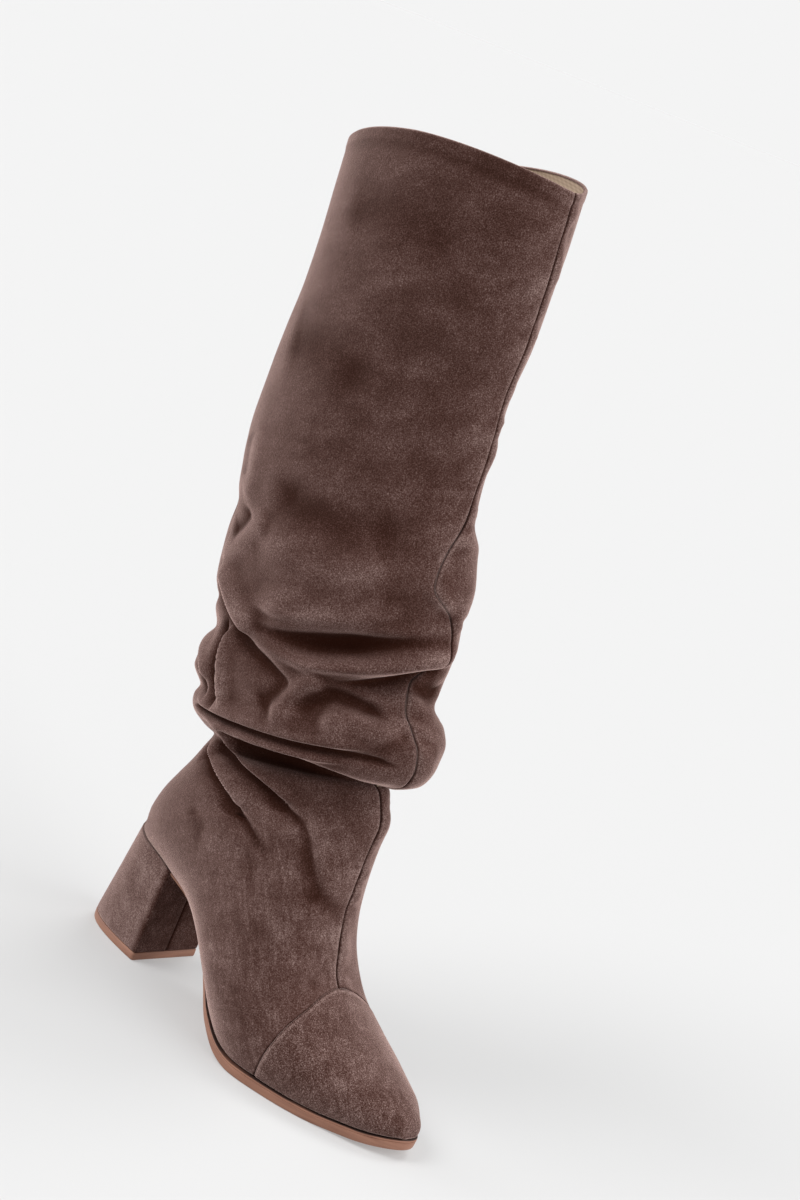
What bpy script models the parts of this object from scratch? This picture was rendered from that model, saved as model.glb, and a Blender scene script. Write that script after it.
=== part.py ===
"""Slouch knee boot, right foot, as separate solids: upper, outsole, heel, heel top piece and insole.

Frame: +X points to the toe, +Y to the inner side of the foot, +Z up. The boot stands on z = 0.
The sizes below are in millimetres and are turned to metres where a vertex is placed.
"""

import math
from collections import namedtuple

import bmesh
import bpy
import numpy as np
from mathutils import Vector

MM = 0.001

# ---- driving dimensions, mm -------------------------------------------------------------------
WALL = 1.8              # suede and its lining
GAP = 0.3               # air between two glued pieces
FEATHER_INSET = 1.5     # the sole stands out this far past the foot of the upper
CAP_STEP = 0.8          # how far the toe cap stands over the vamp
RIM_RISE = 13.0         # the collar rises this much from its seams to the middle of each panel
RIM_ROWS = 8            # rows of sections under the collar that rise with it
SOLE_EDGE = 6.0         # outsole from the ball to the toe
SOLE_FULL = 140.0       # where it reaches that thickness
SOLE_DRAFT = 0.6        # its under side is this much narrower than its top
WAIST_EDGE = 2.0        # outsole where it meets the heel breast
WAIST_TUCK = 2.2        # its edge lies this far inside the plan there
TUCK_END = 125.0        # where it is back on the plan
INSOLE_THICK = 2.2
INSOLE_AIR = 0.8        # round the edge of the insole
HEEL_INSET = 0.8        # the heel's top lies this far inside the sole plan
TOP_PIECE_THICK = 4.6
HEEL_BACK = -10.0        # back of the heel on the floor
HEEL_BREAST = 44.0      # front of the heel on the floor
HEEL_HALF_WIDTH = 23.5  # half width of the heel at its breast, on the floor
HEEL_TAPER = 0.07       # share of that width which the heel loses towards its back
HEEL_SQUARENESS = 2.8   # 2 is a round back, more is squarer
BREAST_TOP = 47.0       # front of the heel under the waist
SEAT_BACK = 3.0         # back end of the sole plan
TOE_TIP = 240.0         # front end of the sole plan

COLUMNS = 40            # faces round the upper
CAP_EDGE = 0.06         # the cap's edge steps down over this share of a section's distance
MERGE = 0.02            # vertices closer than this are one
MIN_STATION = 0.2       # least distance between two stations of a slab

# Sole plan: centre line and half width along the length. The two ends are rounded by plan_half.
PlanRow = namedtuple("PlanRow", "x centre half")
SOLE_PLAN = [
    PlanRow(3, 0.0, 23.0),
    PlanRow(25, 0.0, 24.0),
    PlanRow(45, 0.0, 24.0),
    PlanRow(62, 0.0, 20.8),
    PlanRow(80, -1.4, 18.8),
    PlanRow(100, -4.6, 22.6),
    PlanRow(120, -6.6, 29.6),
    PlanRow(140, -6.4, 35.4),
    PlanRow(156, -4.6, 37.4),
    PlanRow(170, -2.2, 36.6),
    PlanRow(185, -0.2, 33.8),
    PlanRow(200, 1.6, 28.8),
    PlanRow(214, 3.3, 22.9),
    PlanRow(227, 4.9, 18.1),
    PlanRow(240, 6.4, 14.4),
]
HEEL_ROUND = 25.0       # length over which the back of the plan is rounded
SEAT_SQUARENESS = 2.3   # 2 is a round back, more is squarer
TOE_ROUND = 20.0        # length over which the toe is rounded

# Sole side: height of the plane that the upper stands on.
SideRow = namedtuple("SideRow", "x z")
FEATHER_SIDE = [
    SideRow(3, 66.0),
    SideRow(25, 62.5),
    SideRow(47, 57.0),
    SideRow(65, 49.0),
    SideRow(85, 36.5),
    SideRow(105, 23.0),
    SideRow(122, 13.5),
    SideRow(138, 7.9),
    SideRow(152, 6.0),
    SideRow(194, 6.0),
    SideRow(210, 6.9),
    SideRow(225, 8.7),
    SideRow(240, 11.6),
]

# Upper: a row for each section, from the toe round the heel and up to the collar. A section is the cut
# between its front point (xf, zf) and its back point (xb, zb). zb is None where the back point is on the
# sole plane. yc is the centre line, out and inn the half widths, vm where the section is widest as a
# share of the way from the back point, nf and nb how square its front and its back are (2 is round).
Section = namedtuple("Section", "name xf zf xb zb yc out inn vm nf nb")
SECTIONS = [
    Section("tip edge", 237.8, 12.6, 237.8, None, 6.3, 3.6, 3.6, 0.3, 2.2, 2.0),
    Section("tip wall", 237.0, 16.6, 237.3, None, 6.2, 6.4, 6.4, 0.4, 2.2, 2.0),
    Section("tip top", 234.6, 20.0, 235.6, None, 6.1, 9.2, 9.0, 0.4, 2.2, 2.0),
    Section("toe 1", 229.6, 23.6, 232.2, None, 5.7, 13.4, 12.2, 0.4, 2.2, 2.0),
    Section("toe 2", 221.0, 28.5, 225.0, None, 4.8, 20, 18.5, 0.38, 2.15, 2.0),
    Section("toe 3", 209.0, 33.5, 212.5, None, 3.5, 26, 24.5, 0.36, 2.1, 2.0),
    Section("toe 4", 196.0, 39.0, 198.0, None, 2.2, 32, 30.5, 0.34, 2.05, 2.0),
    Section("toe 5", 181.0, 46.0, 182.0, None, 0.6, 37, 36, 0.30, 2.0, 2.0),
    Section("cap seam", 164.5, 57.0, 166.0, None, -0.6, 40, 38, 0.28, 2.0, 2.0),
    Section("vamp 1", 158.5, 71.0, 148.0, None, -1.6, 42.5, 36.5, 0.27, 1.95, 2.0),
    Section("vamp 2", 154.5, 87.0, 130.0, None, -2.0, 42, 34, 0.26, 1.9, 2.05),
    Section("instep 1", 153.0, 103.0, 111.0, None, -2.0, 40.5, 32.5, 0.26, 1.9, 2.15),
    Section("instep 2", 153.0, 118.0, 91.0, None, -1.5, 38.5, 32, 0.27, 1.9, 2.25),
    Section("instep 3", 153.5, 131.0, 70.0, None, -1.0, 36.2, 32.5, 0.31, 1.85, 2.3),
    Section("instep 4", 153.5, 140.5, 48.0, None, 0.0, 35.7, 34, 0.37, 1.85, 2.2),
    Section("seat 1", 152.5, 145.5, 32.0, None, 0.0, 35.5, 34, 0.42, 1.85, 2.05),
    Section("seat 2", 151.0, 149.0, 19.0, None, 0.0, 35, 34, 0.44, 1.85, 2.05),
    Section("seat 3", 150.0, 151.0, 10.5, None, 0.0, 35, 34, 0.46, 1.85, 2.1),
    Section("seat 4", 149.4, 152.4, 6.0, None, 0.0, 34.6, 34, 0.47, 1.85, 2.1),
    Section("seat back", 149.0, 153.6, 4.5, None, 0.0, 34.2, 34, 0.48, 1.85, 2.15),
    Section("counter 1", 148.0, 155.0, 5.0, 75.0, 0.0, 34, 33.5, 0.48, 1.85, 2.2),
    Section("counter 2", 147.0, 156.6, 9.0, 88.0, 0.0, 33.8, 33.2, 0.48, 1.85, 2.2),
    Section("counter 3", 146.0, 158.0, 15.5, 101.0, 0.0, 33.5, 33, 0.48, 1.8, 2.2),
    Section("counter 4", 144.5, 159.2, 22.0, 113.0, 0.0, 33.2, 32.8, 0.48, 1.8, 2.2),
    Section("counter 5", 143.0, 160.2, 27.0, 124.0, 0.0, 33, 32.5, 0.48, 1.8, 2.2),
    Section("ankle gap", 142.0, 161.5, 31.0, 134.0, 0.0, 32.5, 32, 0.48, 1.8, 2.2),
    Section("roll under", 152.0, 164.5, 21.0, 138.5, 0.0, 38.5, 38, 0.48, 1.75, 2.2),
    Section("roll lip", 164.0, 170.5, 12.5, 143.0, 0.0, 43.5, 43, 0.48, 1.7, 2.2),
    Section("roll nose", 169.0, 183.0, 10.5, 149.0, 0.0, 45.5, 45, 0.48, 1.65, 2.2),
    Section("roll top", 168.0, 192.5, 12.5, 155.0, 0.0, 45, 45, 0.48, 1.65, 2.2),
    Section("back roll", 162.5, 199.5, 2.5, 163.5, 0.0, 44.5, 44.5, 0.47, 1.65, 2.2),
    Section("over roll", 156.0, 207.0, 4.0, 174.0, 0.0, 44.5, 44.5, 0.47, 1.65, 2.2),
    Section("upper crease", 152.5, 218.0, 9.5, 188.0, 0.0, 44.5, 44.5, 0.47, 1.65, 2.2),
    Section("fold nose low", 153.0, 229.0, 1.5, 201.0, 0.0, 46, 45.5, 0.47, 1.65, 2.2),
    Section("fold nose", 152.5, 242.0, -3.5, 216.0, 0.0, 46.5, 46, 0.47, 1.65, 2.2),
    Section("fold top", 149.5, 256.0, -6.0, 232.0, 0.0, 46.5, 46.5, 0.47, 1.6, 2.2),
    Section("shaft 1", 147.0, 270.0, -8.0, 250.0, 0.0, 46.5, 46.5, 0.47, 1.6, 2.2),
    Section("shaft 2", 140.0, 287.0, -11.5, 267.0, 0.0, 46.5, 46.5, 0.48, 1.55, 2.2),
    Section("shaft 3", 133.5, 305.0, -15.5, 284.0, 0.0, 46.5, 46.5, 0.48, 1.55, 2.2),
    Section("shaft 4", 130.5, 325.0, -17.5, 304.0, 0.0, 46.5, 46.5, 0.48, 1.5, 2.2),
    Section("shaft 5", 128.5, 347.0, -17.5, 327.0, 0.0, 46.5, 46.5, 0.49, 1.5, 2.2),
    Section("shaft 6", 126.0, 369.0, -16.5, 350.0, 0.0, 46.5, 46.5, 0.49, 1.55, 2.2),
    Section("shaft 7", 127.0, 392.0, -15.0, 374.0, 0.0, 47, 47, 0.50, 1.6, 2.2),
    Section("shaft 8", 126.0, 418.0, -15.5, 398.0, 0.0, 47.5, 47.5, 0.50, 1.6, 2.2),
    Section("shaft 9", 124.0, 444.0, -17.0, 422.0, 0.0, 48.5, 48.5, 0.50, 1.65, 2.2),
    Section("collar", 121.5, 471.0, -18.5, 445.0, 0.0, 49, 49, 0.50, 1.65, 2.2),
]

FRAME_SHIFT = (-(TOE_TIP + SECTIONS[-1].xb) / 2, 0.0)   # brings the middle of the box over the origin

# Folds: soft ridges (height over 0) and troughs (under 0), each along a path in the side view. side is -1
# on the outer panel, 1 on the inner one. over and under are the half widths above and below the path.
Fold = namedtuple("Fold", "name side path height over under")
FOLDS = [
    Fold("long trough", -1, [(60, 203), (84, 213), (112, 226), (136, 239), (156, 252)], -6.0, 7, 5),
    Fold("trough lip", -1, [(56, 190), (84, 200), (112, 212), (136, 225), (150, 234)], 3.5, 6, 7),
    Fold("nose overhang", -1, [(118, 203), (130, 211), (142, 219), (160, 226)], -5.0, 4, 6),
    Fold("back crease", -1, [(2, 212), (24, 202), (46, 195), (72, 190)], -3.5, 5, 6),
    Fold("bridge", -1, [(110, 206), (102, 197), (94, 183), (84, 168)], 3.5, 7, 7),
    Fold("arc trough", -1, [(98, 180), (112, 194), (130, 203), (150, 207)], -4.0, 5, 6),
    Fold("front bulge", -1, [(112, 178), (130, 186), (150, 190)], 3.5, 8, 9),
    Fold("inner trough", 1, [(30, 222), (64, 226), (100, 236), (140, 250)], -4.5, 6, 6),
    Fold("inner overhang", 1, [(60, 190), (96, 197), (128, 206), (156, 214)], -4.5, 5, 6),
    Fold("inner bulge", 1, [(40, 176), (80, 180), (120, 188), (150, 194)], 3.0, 8, 8),
]
SIDE_FADE = 16.0        # a fold dies out over this width about the boot's middle plane
FOLD_END = 0.22         # share of a fold's path over which it fades out at each end


def soft_step(value):
    """0 below 0, 1 above 1, with no corner between."""
    value = np.clip(value, 0, 1)
    return value * value * (3 - 2 * value)


def hermite(p0, p1, m0, m1, t):
    """Cubic between p0 and p1 with the slopes m0 and m1, at t from 0 to 1."""
    t2 = t * t
    t3 = t2 * t
    return (2 * t3 - 3 * t2 + 1) * p0 + (t3 - 2 * t2 + t) * m0 + (3 * t2 - 2 * t3) * p1 + (t3 - t2) * m1


def smooth_curve(knots, values, at):
    """Smooth curve through the values at the knots, with no overshoot at a flat stretch."""
    knots = np.asarray(knots, float)
    values = np.asarray(values, float)
    step = np.diff(knots)
    slope = np.diff(values) / step
    tangent = np.zeros_like(values)
    tangent[0] = slope[0]
    tangent[-1] = slope[-1]
    for i in range(1, len(values) - 1):
        if slope[i - 1] * slope[i] > 0:
            weight = step[i] / (step[i - 1] + step[i])
            tangent[i] = weight * slope[i - 1] + (1 - weight) * slope[i]
    at = np.clip(at, knots[0], knots[-1])
    i = np.clip(np.searchsorted(knots, at, side="right") - 1, 0, len(step) - 1)
    t = (at - knots[i]) / step[i]
    return hermite(values[i], values[i + 1], tangent[i] * step[i], tangent[i + 1] * step[i], t)


def column(rows, name):
    """One named column of a table."""
    return [getattr(row, name) for row in rows]


def plan_half(x, inset=0.0):
    """Half width of the sole plan at x, rounded off at the heel and at the toe."""
    half = smooth_curve(column(SOLE_PLAN, "x"), column(SOLE_PLAN, "half"), x) - inset
    heel = np.clip((x - SEAT_BACK - inset) / HEEL_ROUND, 0, 1)
    toe = np.clip((TOE_TIP - inset - x) / TOE_ROUND, 0, 1)
    half *= (1 - (1 - heel) ** SEAT_SQUARENESS) ** (1 / SEAT_SQUARENESS)
    return half * (1 - (1 - toe) ** 2) ** 0.5


def plan_centre(x):
    """Centre line of the sole plan at x."""
    return smooth_curve(column(SOLE_PLAN, "x"), column(SOLE_PLAN, "centre"), x)


def feather_z(x):
    """Height of the plane that the upper and the insole stand on."""
    return smooth_curve(column(FEATHER_SIDE, "x"), column(FEATHER_SIDE, "z"), x)


def sole_edge(x):
    """Thickness of the outsole at x: thin at the waist, full from the ball to the toe."""
    return WAIST_EDGE + (SOLE_EDGE - WAIST_EDGE) * soft_step((x - BREAST_TOP) / (SOLE_FULL - BREAST_TOP))


def sole_tuck(x):
    """How far the outsole's edge lies inside the plan at x: tucked under the upper at the waist."""
    return WAIST_TUCK * soft_step((TUCK_END - x) / (TUCK_END - BREAST_TOP))


ROW_NAMES = [s.name for s in SECTIONS]
SEAT_ROW = ROW_NAMES.index("seat back")
TOE_ROW = ROW_NAMES.index("toe 1")
CAP_ROW = ROW_NAMES.index("cap seam")
BREAST_ROW = ROW_NAMES.index("instep 4")
GAP_ROW = ROW_NAMES.index("ankle gap")
FOLDS_END_ROW = ROW_NAMES.index("shaft 2")
COLLAR_ROW = len(SECTIONS) - 1


def section_values(t):
    """Every column of the section table at row number t, which may lie between two rows."""
    rows = range(len(SECTIONS))
    names = ("xf", "zf", "xb", "yc", "out", "inn", "vm", "nf", "nb")
    value = {name: float(smooth_curve(rows, column(SECTIONS, name), t)) for name in names}
    if t <= SEAT_ROW:
        value["zb"] = float(feather_z(value["xb"])) + GAP
    else:
        upward = [s.zb for s in SECTIONS[SEAT_ROW + 1:]]
        upward.insert(0, float(feather_z(SECTIONS[SEAT_ROW].xb)) + GAP)
        value["zb"] = float(smooth_curve(range(SEAT_ROW, len(SECTIONS)), upward, t))
    return value


def upper_point(t, u):
    """Point of the upper's outer face, mm.

    t is the row number in the section table. u runs round the section: -1 at the back or the sole on
    the outer side, 0 at the front or the ridge, 1 at the back or the sole on the inner side.
    """
    s = section_values(t)
    side = 1 if u > 0 else -1
    wide = s["inn"] if side > 0 else s["out"]
    foot = 0.0
    if t < SEAT_ROW:
        half = plan_half(s["xb"], FEATHER_INSET)
        foot = max(float(half + side * (plan_centre(s["xb"]) - s["yc"])), 0.0)
        wide = max(wide, foot + GAP)
    end = math.pi - math.asin((foot / wide) ** (s["nb"] / 2))
    angle = end * abs(u)
    if angle <= math.pi / 2:
        across = wide * math.sin(angle) ** (2 / s["nf"])
        along = s["vm"] + (1 - s["vm"]) * max(math.cos(angle), 0.0) ** (2 / s["nf"])
    else:
        across = wide * max(math.sin(angle), 0.0) ** (2 / s["nb"])
        reach = abs(math.cos(end)) ** (2 / s["nb"])
        along = s["vm"] * (1 - abs(math.cos(angle)) ** (2 / s["nb"]) / reach)
    x = s["xb"] + along * (s["xf"] - s["xb"])
    z = s["zb"] + along * (s["zf"] - s["zb"])
    rim = max((t - COLLAR_ROW) / RIM_ROWS + 1, 0) ** 2
    z += RIM_RISE * rim * max(math.sin(angle), 0.0) ** 1.5
    return Vector((x, s["yc"] + side * across, z))


def fold_path(fold, count=24):
    """Points along a fold's path in the side view, with their shares of its length."""
    knots = np.arange(len(fold.path))
    at = np.linspace(0, len(fold.path) - 1, count)
    points = np.array(fold.path, float)
    return np.stack([smooth_curve(knots, points[:, 0], at), smooth_curve(knots, points[:, 1], at)], 1)


FOLD_PATHS = [fold_path(fold) for fold in FOLDS]


def fold_height(point):
    """How far the folds lift the upper at a point, mm."""
    height = 0.0
    for fold, path in zip(FOLDS, FOLD_PATHS):
        on_side = soft_step(0.5 + fold.side * point[1] / SIDE_FADE)
        if on_side == 0:
            continue
        apart = np.array((point[0], point[2])) - path
        i = int(np.argmin((apart ** 2).sum(1)))
        reach = fold.over if apart[i][1] > 0 else fold.under
        near = math.exp(-(apart[i] ** 2).sum() / reach ** 2)
        share = i / (len(path) - 1)
        ends = soft_step(share / FOLD_END) * soft_step((1 - share) / FOLD_END)
        height += fold.height * near * on_side * ends
    return height


def place(point):
    """A point in mm as a vertex position in metres, in the boot's frame."""
    return Vector((point[0] + FRAME_SHIFT[0], point[1] + FRAME_SHIFT[1], point[2])) * MM


def new_object(name, bm, collection, material):
    """Makes the bmesh an object with smooth faces and one material."""
    mesh = bpy.data.meshes.new(name)
    bm.to_mesh(mesh)
    bm.free()
    mesh.materials.append(material)
    mesh.shade_smooth()
    mesh.set_sharp_from_angle(angle=math.radians(40))
    obj = bpy.data.objects.new(name, mesh)
    collection.objects.link(obj)
    return obj


def principled(name, colour, roughness):
    """A plain material for one piece."""
    material = bpy.data.materials.new(name)
    material.use_nodes = True
    shader = material.node_tree.nodes["Principled BSDF"]
    shader.inputs["Base Color"].default_value = (*colour, 1)
    shader.inputs["Roughness"].default_value = roughness
    shader.inputs["Metallic"].default_value = 0
    return material


def grid_surface(columns, rows):
    """A bmesh grid, and its vertices listed by row and then by column."""
    bm = bmesh.new()
    bmesh.ops.create_grid(bm, x_segments=columns, y_segments=rows, size=1)
    verts = sorted(bm.verts, key=lambda v: (round(v.co.y, 5), round(v.co.x, 5)))
    width = columns + 1
    return bm, [verts[i * width:(i + 1) * width] for i in range(rows + 1)]


def upper_rows():
    """Row numbers of the upper's mesh, closer along the vamp, in the folds and at the edge of the cap."""
    between = [t + 0.5 for t in (*range(TOE_ROW, BREAST_ROW), *range(GAP_ROW, FOLDS_END_ROW))]
    return sorted([*range(COLLAR_ROW + 1), *between, CAP_ROW + CAP_EDGE])


def feather_stations(start, end):
    """Stations under the foot of the upper, where its rows meet the sole, from start to end."""
    meets = sorted(section_values(t)["xb"] for t in upper_rows() if t <= SEAT_ROW)
    return [start] + [x for x in meets if start + MIN_STATION < x < end - MIN_STATION] + [end]


def make_upper(collection, material):
    """The hollow upper: a sheet through the sections, closed up the back, with a wall inside it."""
    rows = upper_rows()
    bm, verts = grid_surface(COLUMNS, len(rows) - 1)
    for t, line in zip(rows, verts):
        for j, vert in enumerate(line):
            vert.co = place(upper_point(t, 2 * j / COLUMNS - 1))
    bm.normal_update()
    outward = 1 if verts[-1][0].normal.x < 0 else -1
    lifted = []
    for t, line in zip(rows, verts):
        for vert in line:
            lift = fold_height(vert.co / MM - Vector((*FRAME_SHIFT, 0)))
            offset = vert.normal * outward * (lift + CAP_STEP * (t <= CAP_ROW))
            if t <= CAP_ROW:
                offset.z = max(offset.z, 0)
            lifted.append((vert, offset))
    for vert, offset in lifted:
        vert.co += offset * MM
    bmesh.ops.remove_doubles(bm, verts=bm.verts, dist=MERGE * MM)
    if outward < 0:
        bmesh.ops.reverse_faces(bm, faces=bm.faces)
    upper = new_object("upper", bm, collection, material)
    wall = upper.modifiers.new("wall", "SOLIDIFY")
    wall.thickness = WALL * MM
    wall.offset = -1
    return upper


def make_slab(name, stations, top, under, collection, material):
    """A solid between two faces that share the same stations along the boot.

    top and under turn a station and a share across, from -1 to 1, to a point in mm.
    """
    across = 4
    bm, verts = grid_surface(across, len(stations) - 1)
    lower = {}
    for s, line in zip(stations, verts):
        for j, vert in enumerate(line):
            share = 2 * j / across - 1
            vert.co = place(top(s, share))
            lower[vert] = place(under(s, share))
    made = bmesh.ops.extrude_face_region(bm, geom=bm.faces[:], use_keep_orig=True)
    tops = {tuple(v.co): v for v in lower}
    for vert in made["geom"]:
        if isinstance(vert, bmesh.types.BMVert):
            vert.co = lower[tops[tuple(vert.co)]]
    bmesh.ops.remove_doubles(bm, verts=bm.verts, dist=MERGE * MM)
    bmesh.ops.recalc_face_normals(bm, faces=bm.faces)
    return new_object(name, bm, collection, material)


def make_outsole(collection, material):
    """The outsole, from the heel breast to the toe."""
    def top(x, share):
        return (x, plan_centre(x) + share * plan_half(x, sole_tuck(x)), feather_z(x))

    def under(x, share):
        half = max(plan_half(x, sole_tuck(x)) - SOLE_DRAFT, 0)
        return (x, plan_centre(x) + share * half, feather_z(x) - sole_edge(x))

    stations = feather_stations(BREAST_TOP + GAP, TOE_TIP)
    return make_slab("outsole", stations, top, under, collection, material)


def make_insole(collection, material):
    """The footbed, inside the foot of the upper."""
    inset = FEATHER_INSET + WALL + INSOLE_AIR

    def at(x, share, rise):
        return (x, plan_centre(x) + share * plan_half(x, inset), feather_z(x) + rise)

    stations = feather_stations(SEAT_BACK + inset, TOE_TIP - inset)
    return make_slab("insole", stations, lambda x, k: at(x, k, GAP + INSOLE_THICK),
                     lambda x, k: at(x, k, GAP), collection, material)


def heel_plan(s, share, z):
    """Point of the heel's plan on the floor: s runs from its back to its breast."""
    half = HEEL_HALF_WIDTH * (1 - HEEL_TAPER * (1 - s))
    half *= (1 - (1 - s) ** HEEL_SQUARENESS) ** (1 / HEEL_SQUARENESS)
    return (HEEL_BACK + s * (HEEL_BREAST - HEEL_BACK), share * half, z)


def heel_seat(s, share):
    """Point of the heel's top, under the upper's seat."""
    x = SEAT_BACK + HEEL_INSET + s * (BREAST_TOP - SEAT_BACK - HEEL_INSET)
    return (x, share * plan_half(x, HEEL_INSET), feather_z(x))


def heel_stations():
    """Shares of the heel's length, from its back to its breast."""
    back = SEAT_BACK + HEEL_INSET
    return [(x - back) / (BREAST_TOP - back) for x in feather_stations(back, BREAST_TOP)]


def make_heel(collection, material):
    """The block heel, from its top piece to the seat."""
    return make_slab("heel", heel_stations(), heel_seat, lambda s, k: heel_plan(s, k, TOP_PIECE_THICK + GAP),
                     collection, material)


def make_top_piece(collection, material):
    """The wear piece that the heel stands on."""
    return make_slab("heel_top_piece", heel_stations(), lambda s, k: heel_plan(s, k, TOP_PIECE_THICK),
                     lambda s, k: heel_plan(s, k, 0.0), collection, material)


def main():
    """Clears the scene and makes the boot."""
    for obj in list(bpy.data.objects):
        bpy.data.objects.remove(obj, do_unlink=True)
    collection = bpy.data.collections.new("slouch_boot")
    bpy.context.scene.collection.children.link(collection)
    suede = principled("brown_suede", (0.125, 0.085, 0.072), 0.95)
    sole = principled("tan_sole", (0.33, 0.17, 0.105), 0.6)
    lining = principled("beige_lining", (0.42, 0.33, 0.25), 0.8)
    make_upper(collection, suede)
    make_outsole(collection, sole)
    make_heel(collection, suede)
    make_top_piece(collection, sole)
    make_insole(collection, lining)


main()
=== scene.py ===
"""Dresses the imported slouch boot: suede panels with their folds, covered heel, tan sole and lining.

Frame: +X points to the toe, +Y to the inner side of the foot, +Z up, and the boot stands on z = 0.
Sizes are in millimetres and become metres where a mesh is made. The tables of the last repeat the CAD
part's own, so each piece lies exactly where its solid does.
"""

import logging
import math
from dataclasses import dataclass
from enum import IntEnum
from typing import NamedTuple, Sequence

import bmesh
import bpy
import numpy as np
from bpy.types import ColorRamp, Material, Node, NodeSocket, NodeTree, Object
from mathutils import Matrix, Vector


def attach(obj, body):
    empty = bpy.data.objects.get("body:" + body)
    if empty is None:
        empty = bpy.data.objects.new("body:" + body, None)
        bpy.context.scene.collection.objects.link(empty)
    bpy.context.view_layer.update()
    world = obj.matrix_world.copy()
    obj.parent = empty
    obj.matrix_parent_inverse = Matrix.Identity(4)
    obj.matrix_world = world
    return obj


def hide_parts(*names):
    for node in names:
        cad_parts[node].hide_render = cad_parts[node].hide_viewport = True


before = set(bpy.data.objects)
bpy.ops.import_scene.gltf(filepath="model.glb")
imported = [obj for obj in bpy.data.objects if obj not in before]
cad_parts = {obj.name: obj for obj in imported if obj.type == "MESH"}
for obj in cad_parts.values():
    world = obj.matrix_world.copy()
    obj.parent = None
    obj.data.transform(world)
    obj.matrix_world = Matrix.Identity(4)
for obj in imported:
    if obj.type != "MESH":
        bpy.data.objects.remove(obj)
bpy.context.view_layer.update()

LOG = logging.getLogger("boot")
MM = 0.001
Array = np.ndarray
NONE = float("nan")


class Side(IntEnum):
    """Side of the boot: the sign of y."""

    OUTER = -1
    BOTH = 0
    INNER = 1


class PlanRow(NamedTuple):
    """Sole plan at a station: centre line and half width."""

    x: float
    centre: float
    half: float


class SideRow(NamedTuple):
    """Height of the feather plane, which the upper stands on."""

    x: float
    z: float


class SectionRow(NamedTuple):
    """One section of the last: front and back points, half widths and roundness."""

    name: str
    xf: float
    zf: float
    xb: float
    zb: float
    yc: float
    out: float
    inn: float
    vm: float
    nf: float
    nb: float


class Fold(NamedTuple):
    """A soft ridge (height over 0) or trough along a path in the side view.

    left and right are its half widths to the two sides of the path's direction, and slide is how far it
    leans over to its right, all in mm. The fades are the shares of the path over which its ends die away,
    and a power over 2 makes its top flatter.
    """

    name: str
    path: Sequence[tuple[float, float]]
    height: float
    left: float
    right: float
    slide: float = 0.0
    fade_in: float = 0.2
    fade_out: float = 0.2
    power: float = 2.0


class Sheet(NamedTuple):
    """A grid of points in mm, with marks for its material and the share of the full wall at each point."""

    points: Array
    marks: dict[str, Array] | None = None
    wall: Array | None = None


class PanelEdges(NamedTuple):
    """Distances of a panel's points from its edges, mm.

    on_sole is 1 where its back edge stands on the sole, and free is 0 where the folds may not move it.
    """

    front: Array
    back: Array
    cap: Array
    collar: Array
    on_sole: Array
    free: Array


class CapEdges(NamedTuple):
    """Distances of the toe cap's points from its seam and from the sole, mm."""

    cap: Array
    sole: Array


class Line(NamedTuple):
    """A soft line beside an edge: its strength, its distance from the edge and its width, mm."""

    edge: str
    strength: float
    place: float
    width: float


class RingPoint(NamedTuple):
    """A point of a plate's cut.

    across is the share of the half width, inset the distance in from the plan, down the share of the
    thickness under the top, and extra a depth in mm on top of it.
    """

    across: float
    inset: float
    down: float
    extra: float = 0.0


class Lamp(NamedTuple):
    """A distant light: direction in the camera's axes, W per square metre, and spread in degrees."""

    name: str
    side: float
    up: float
    front: float
    power: float
    spread: float


SOLE_PLAN = [PlanRow(*row) for row in (
    (3, 0.0, 23.0), (25, 0.0, 24.0), (45, 0.0, 24.0), (62, 0.0, 20.8), (80, -1.4, 18.8),
    (100, -4.6, 22.6), (120, -6.6, 29.6), (140, -6.4, 35.4), (156, -4.6, 37.4), (170, -2.2, 36.6),
    (185, -0.2, 33.8), (200, 1.6, 28.8), (214, 3.3, 22.9), (227, 4.9, 18.1), (240, 6.4, 14.4),
)]

FEATHER_SIDE = [SideRow(*row) for row in (
    (3, 66.0), (25, 62.5), (47, 57.0), (65, 49.0), (85, 36.5), (105, 23.0), (122, 13.5), (138, 7.9),
    (152, 6.0), (194, 6.0), (210, 6.9), (225, 8.7), (240, 11.6),
)]

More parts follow.
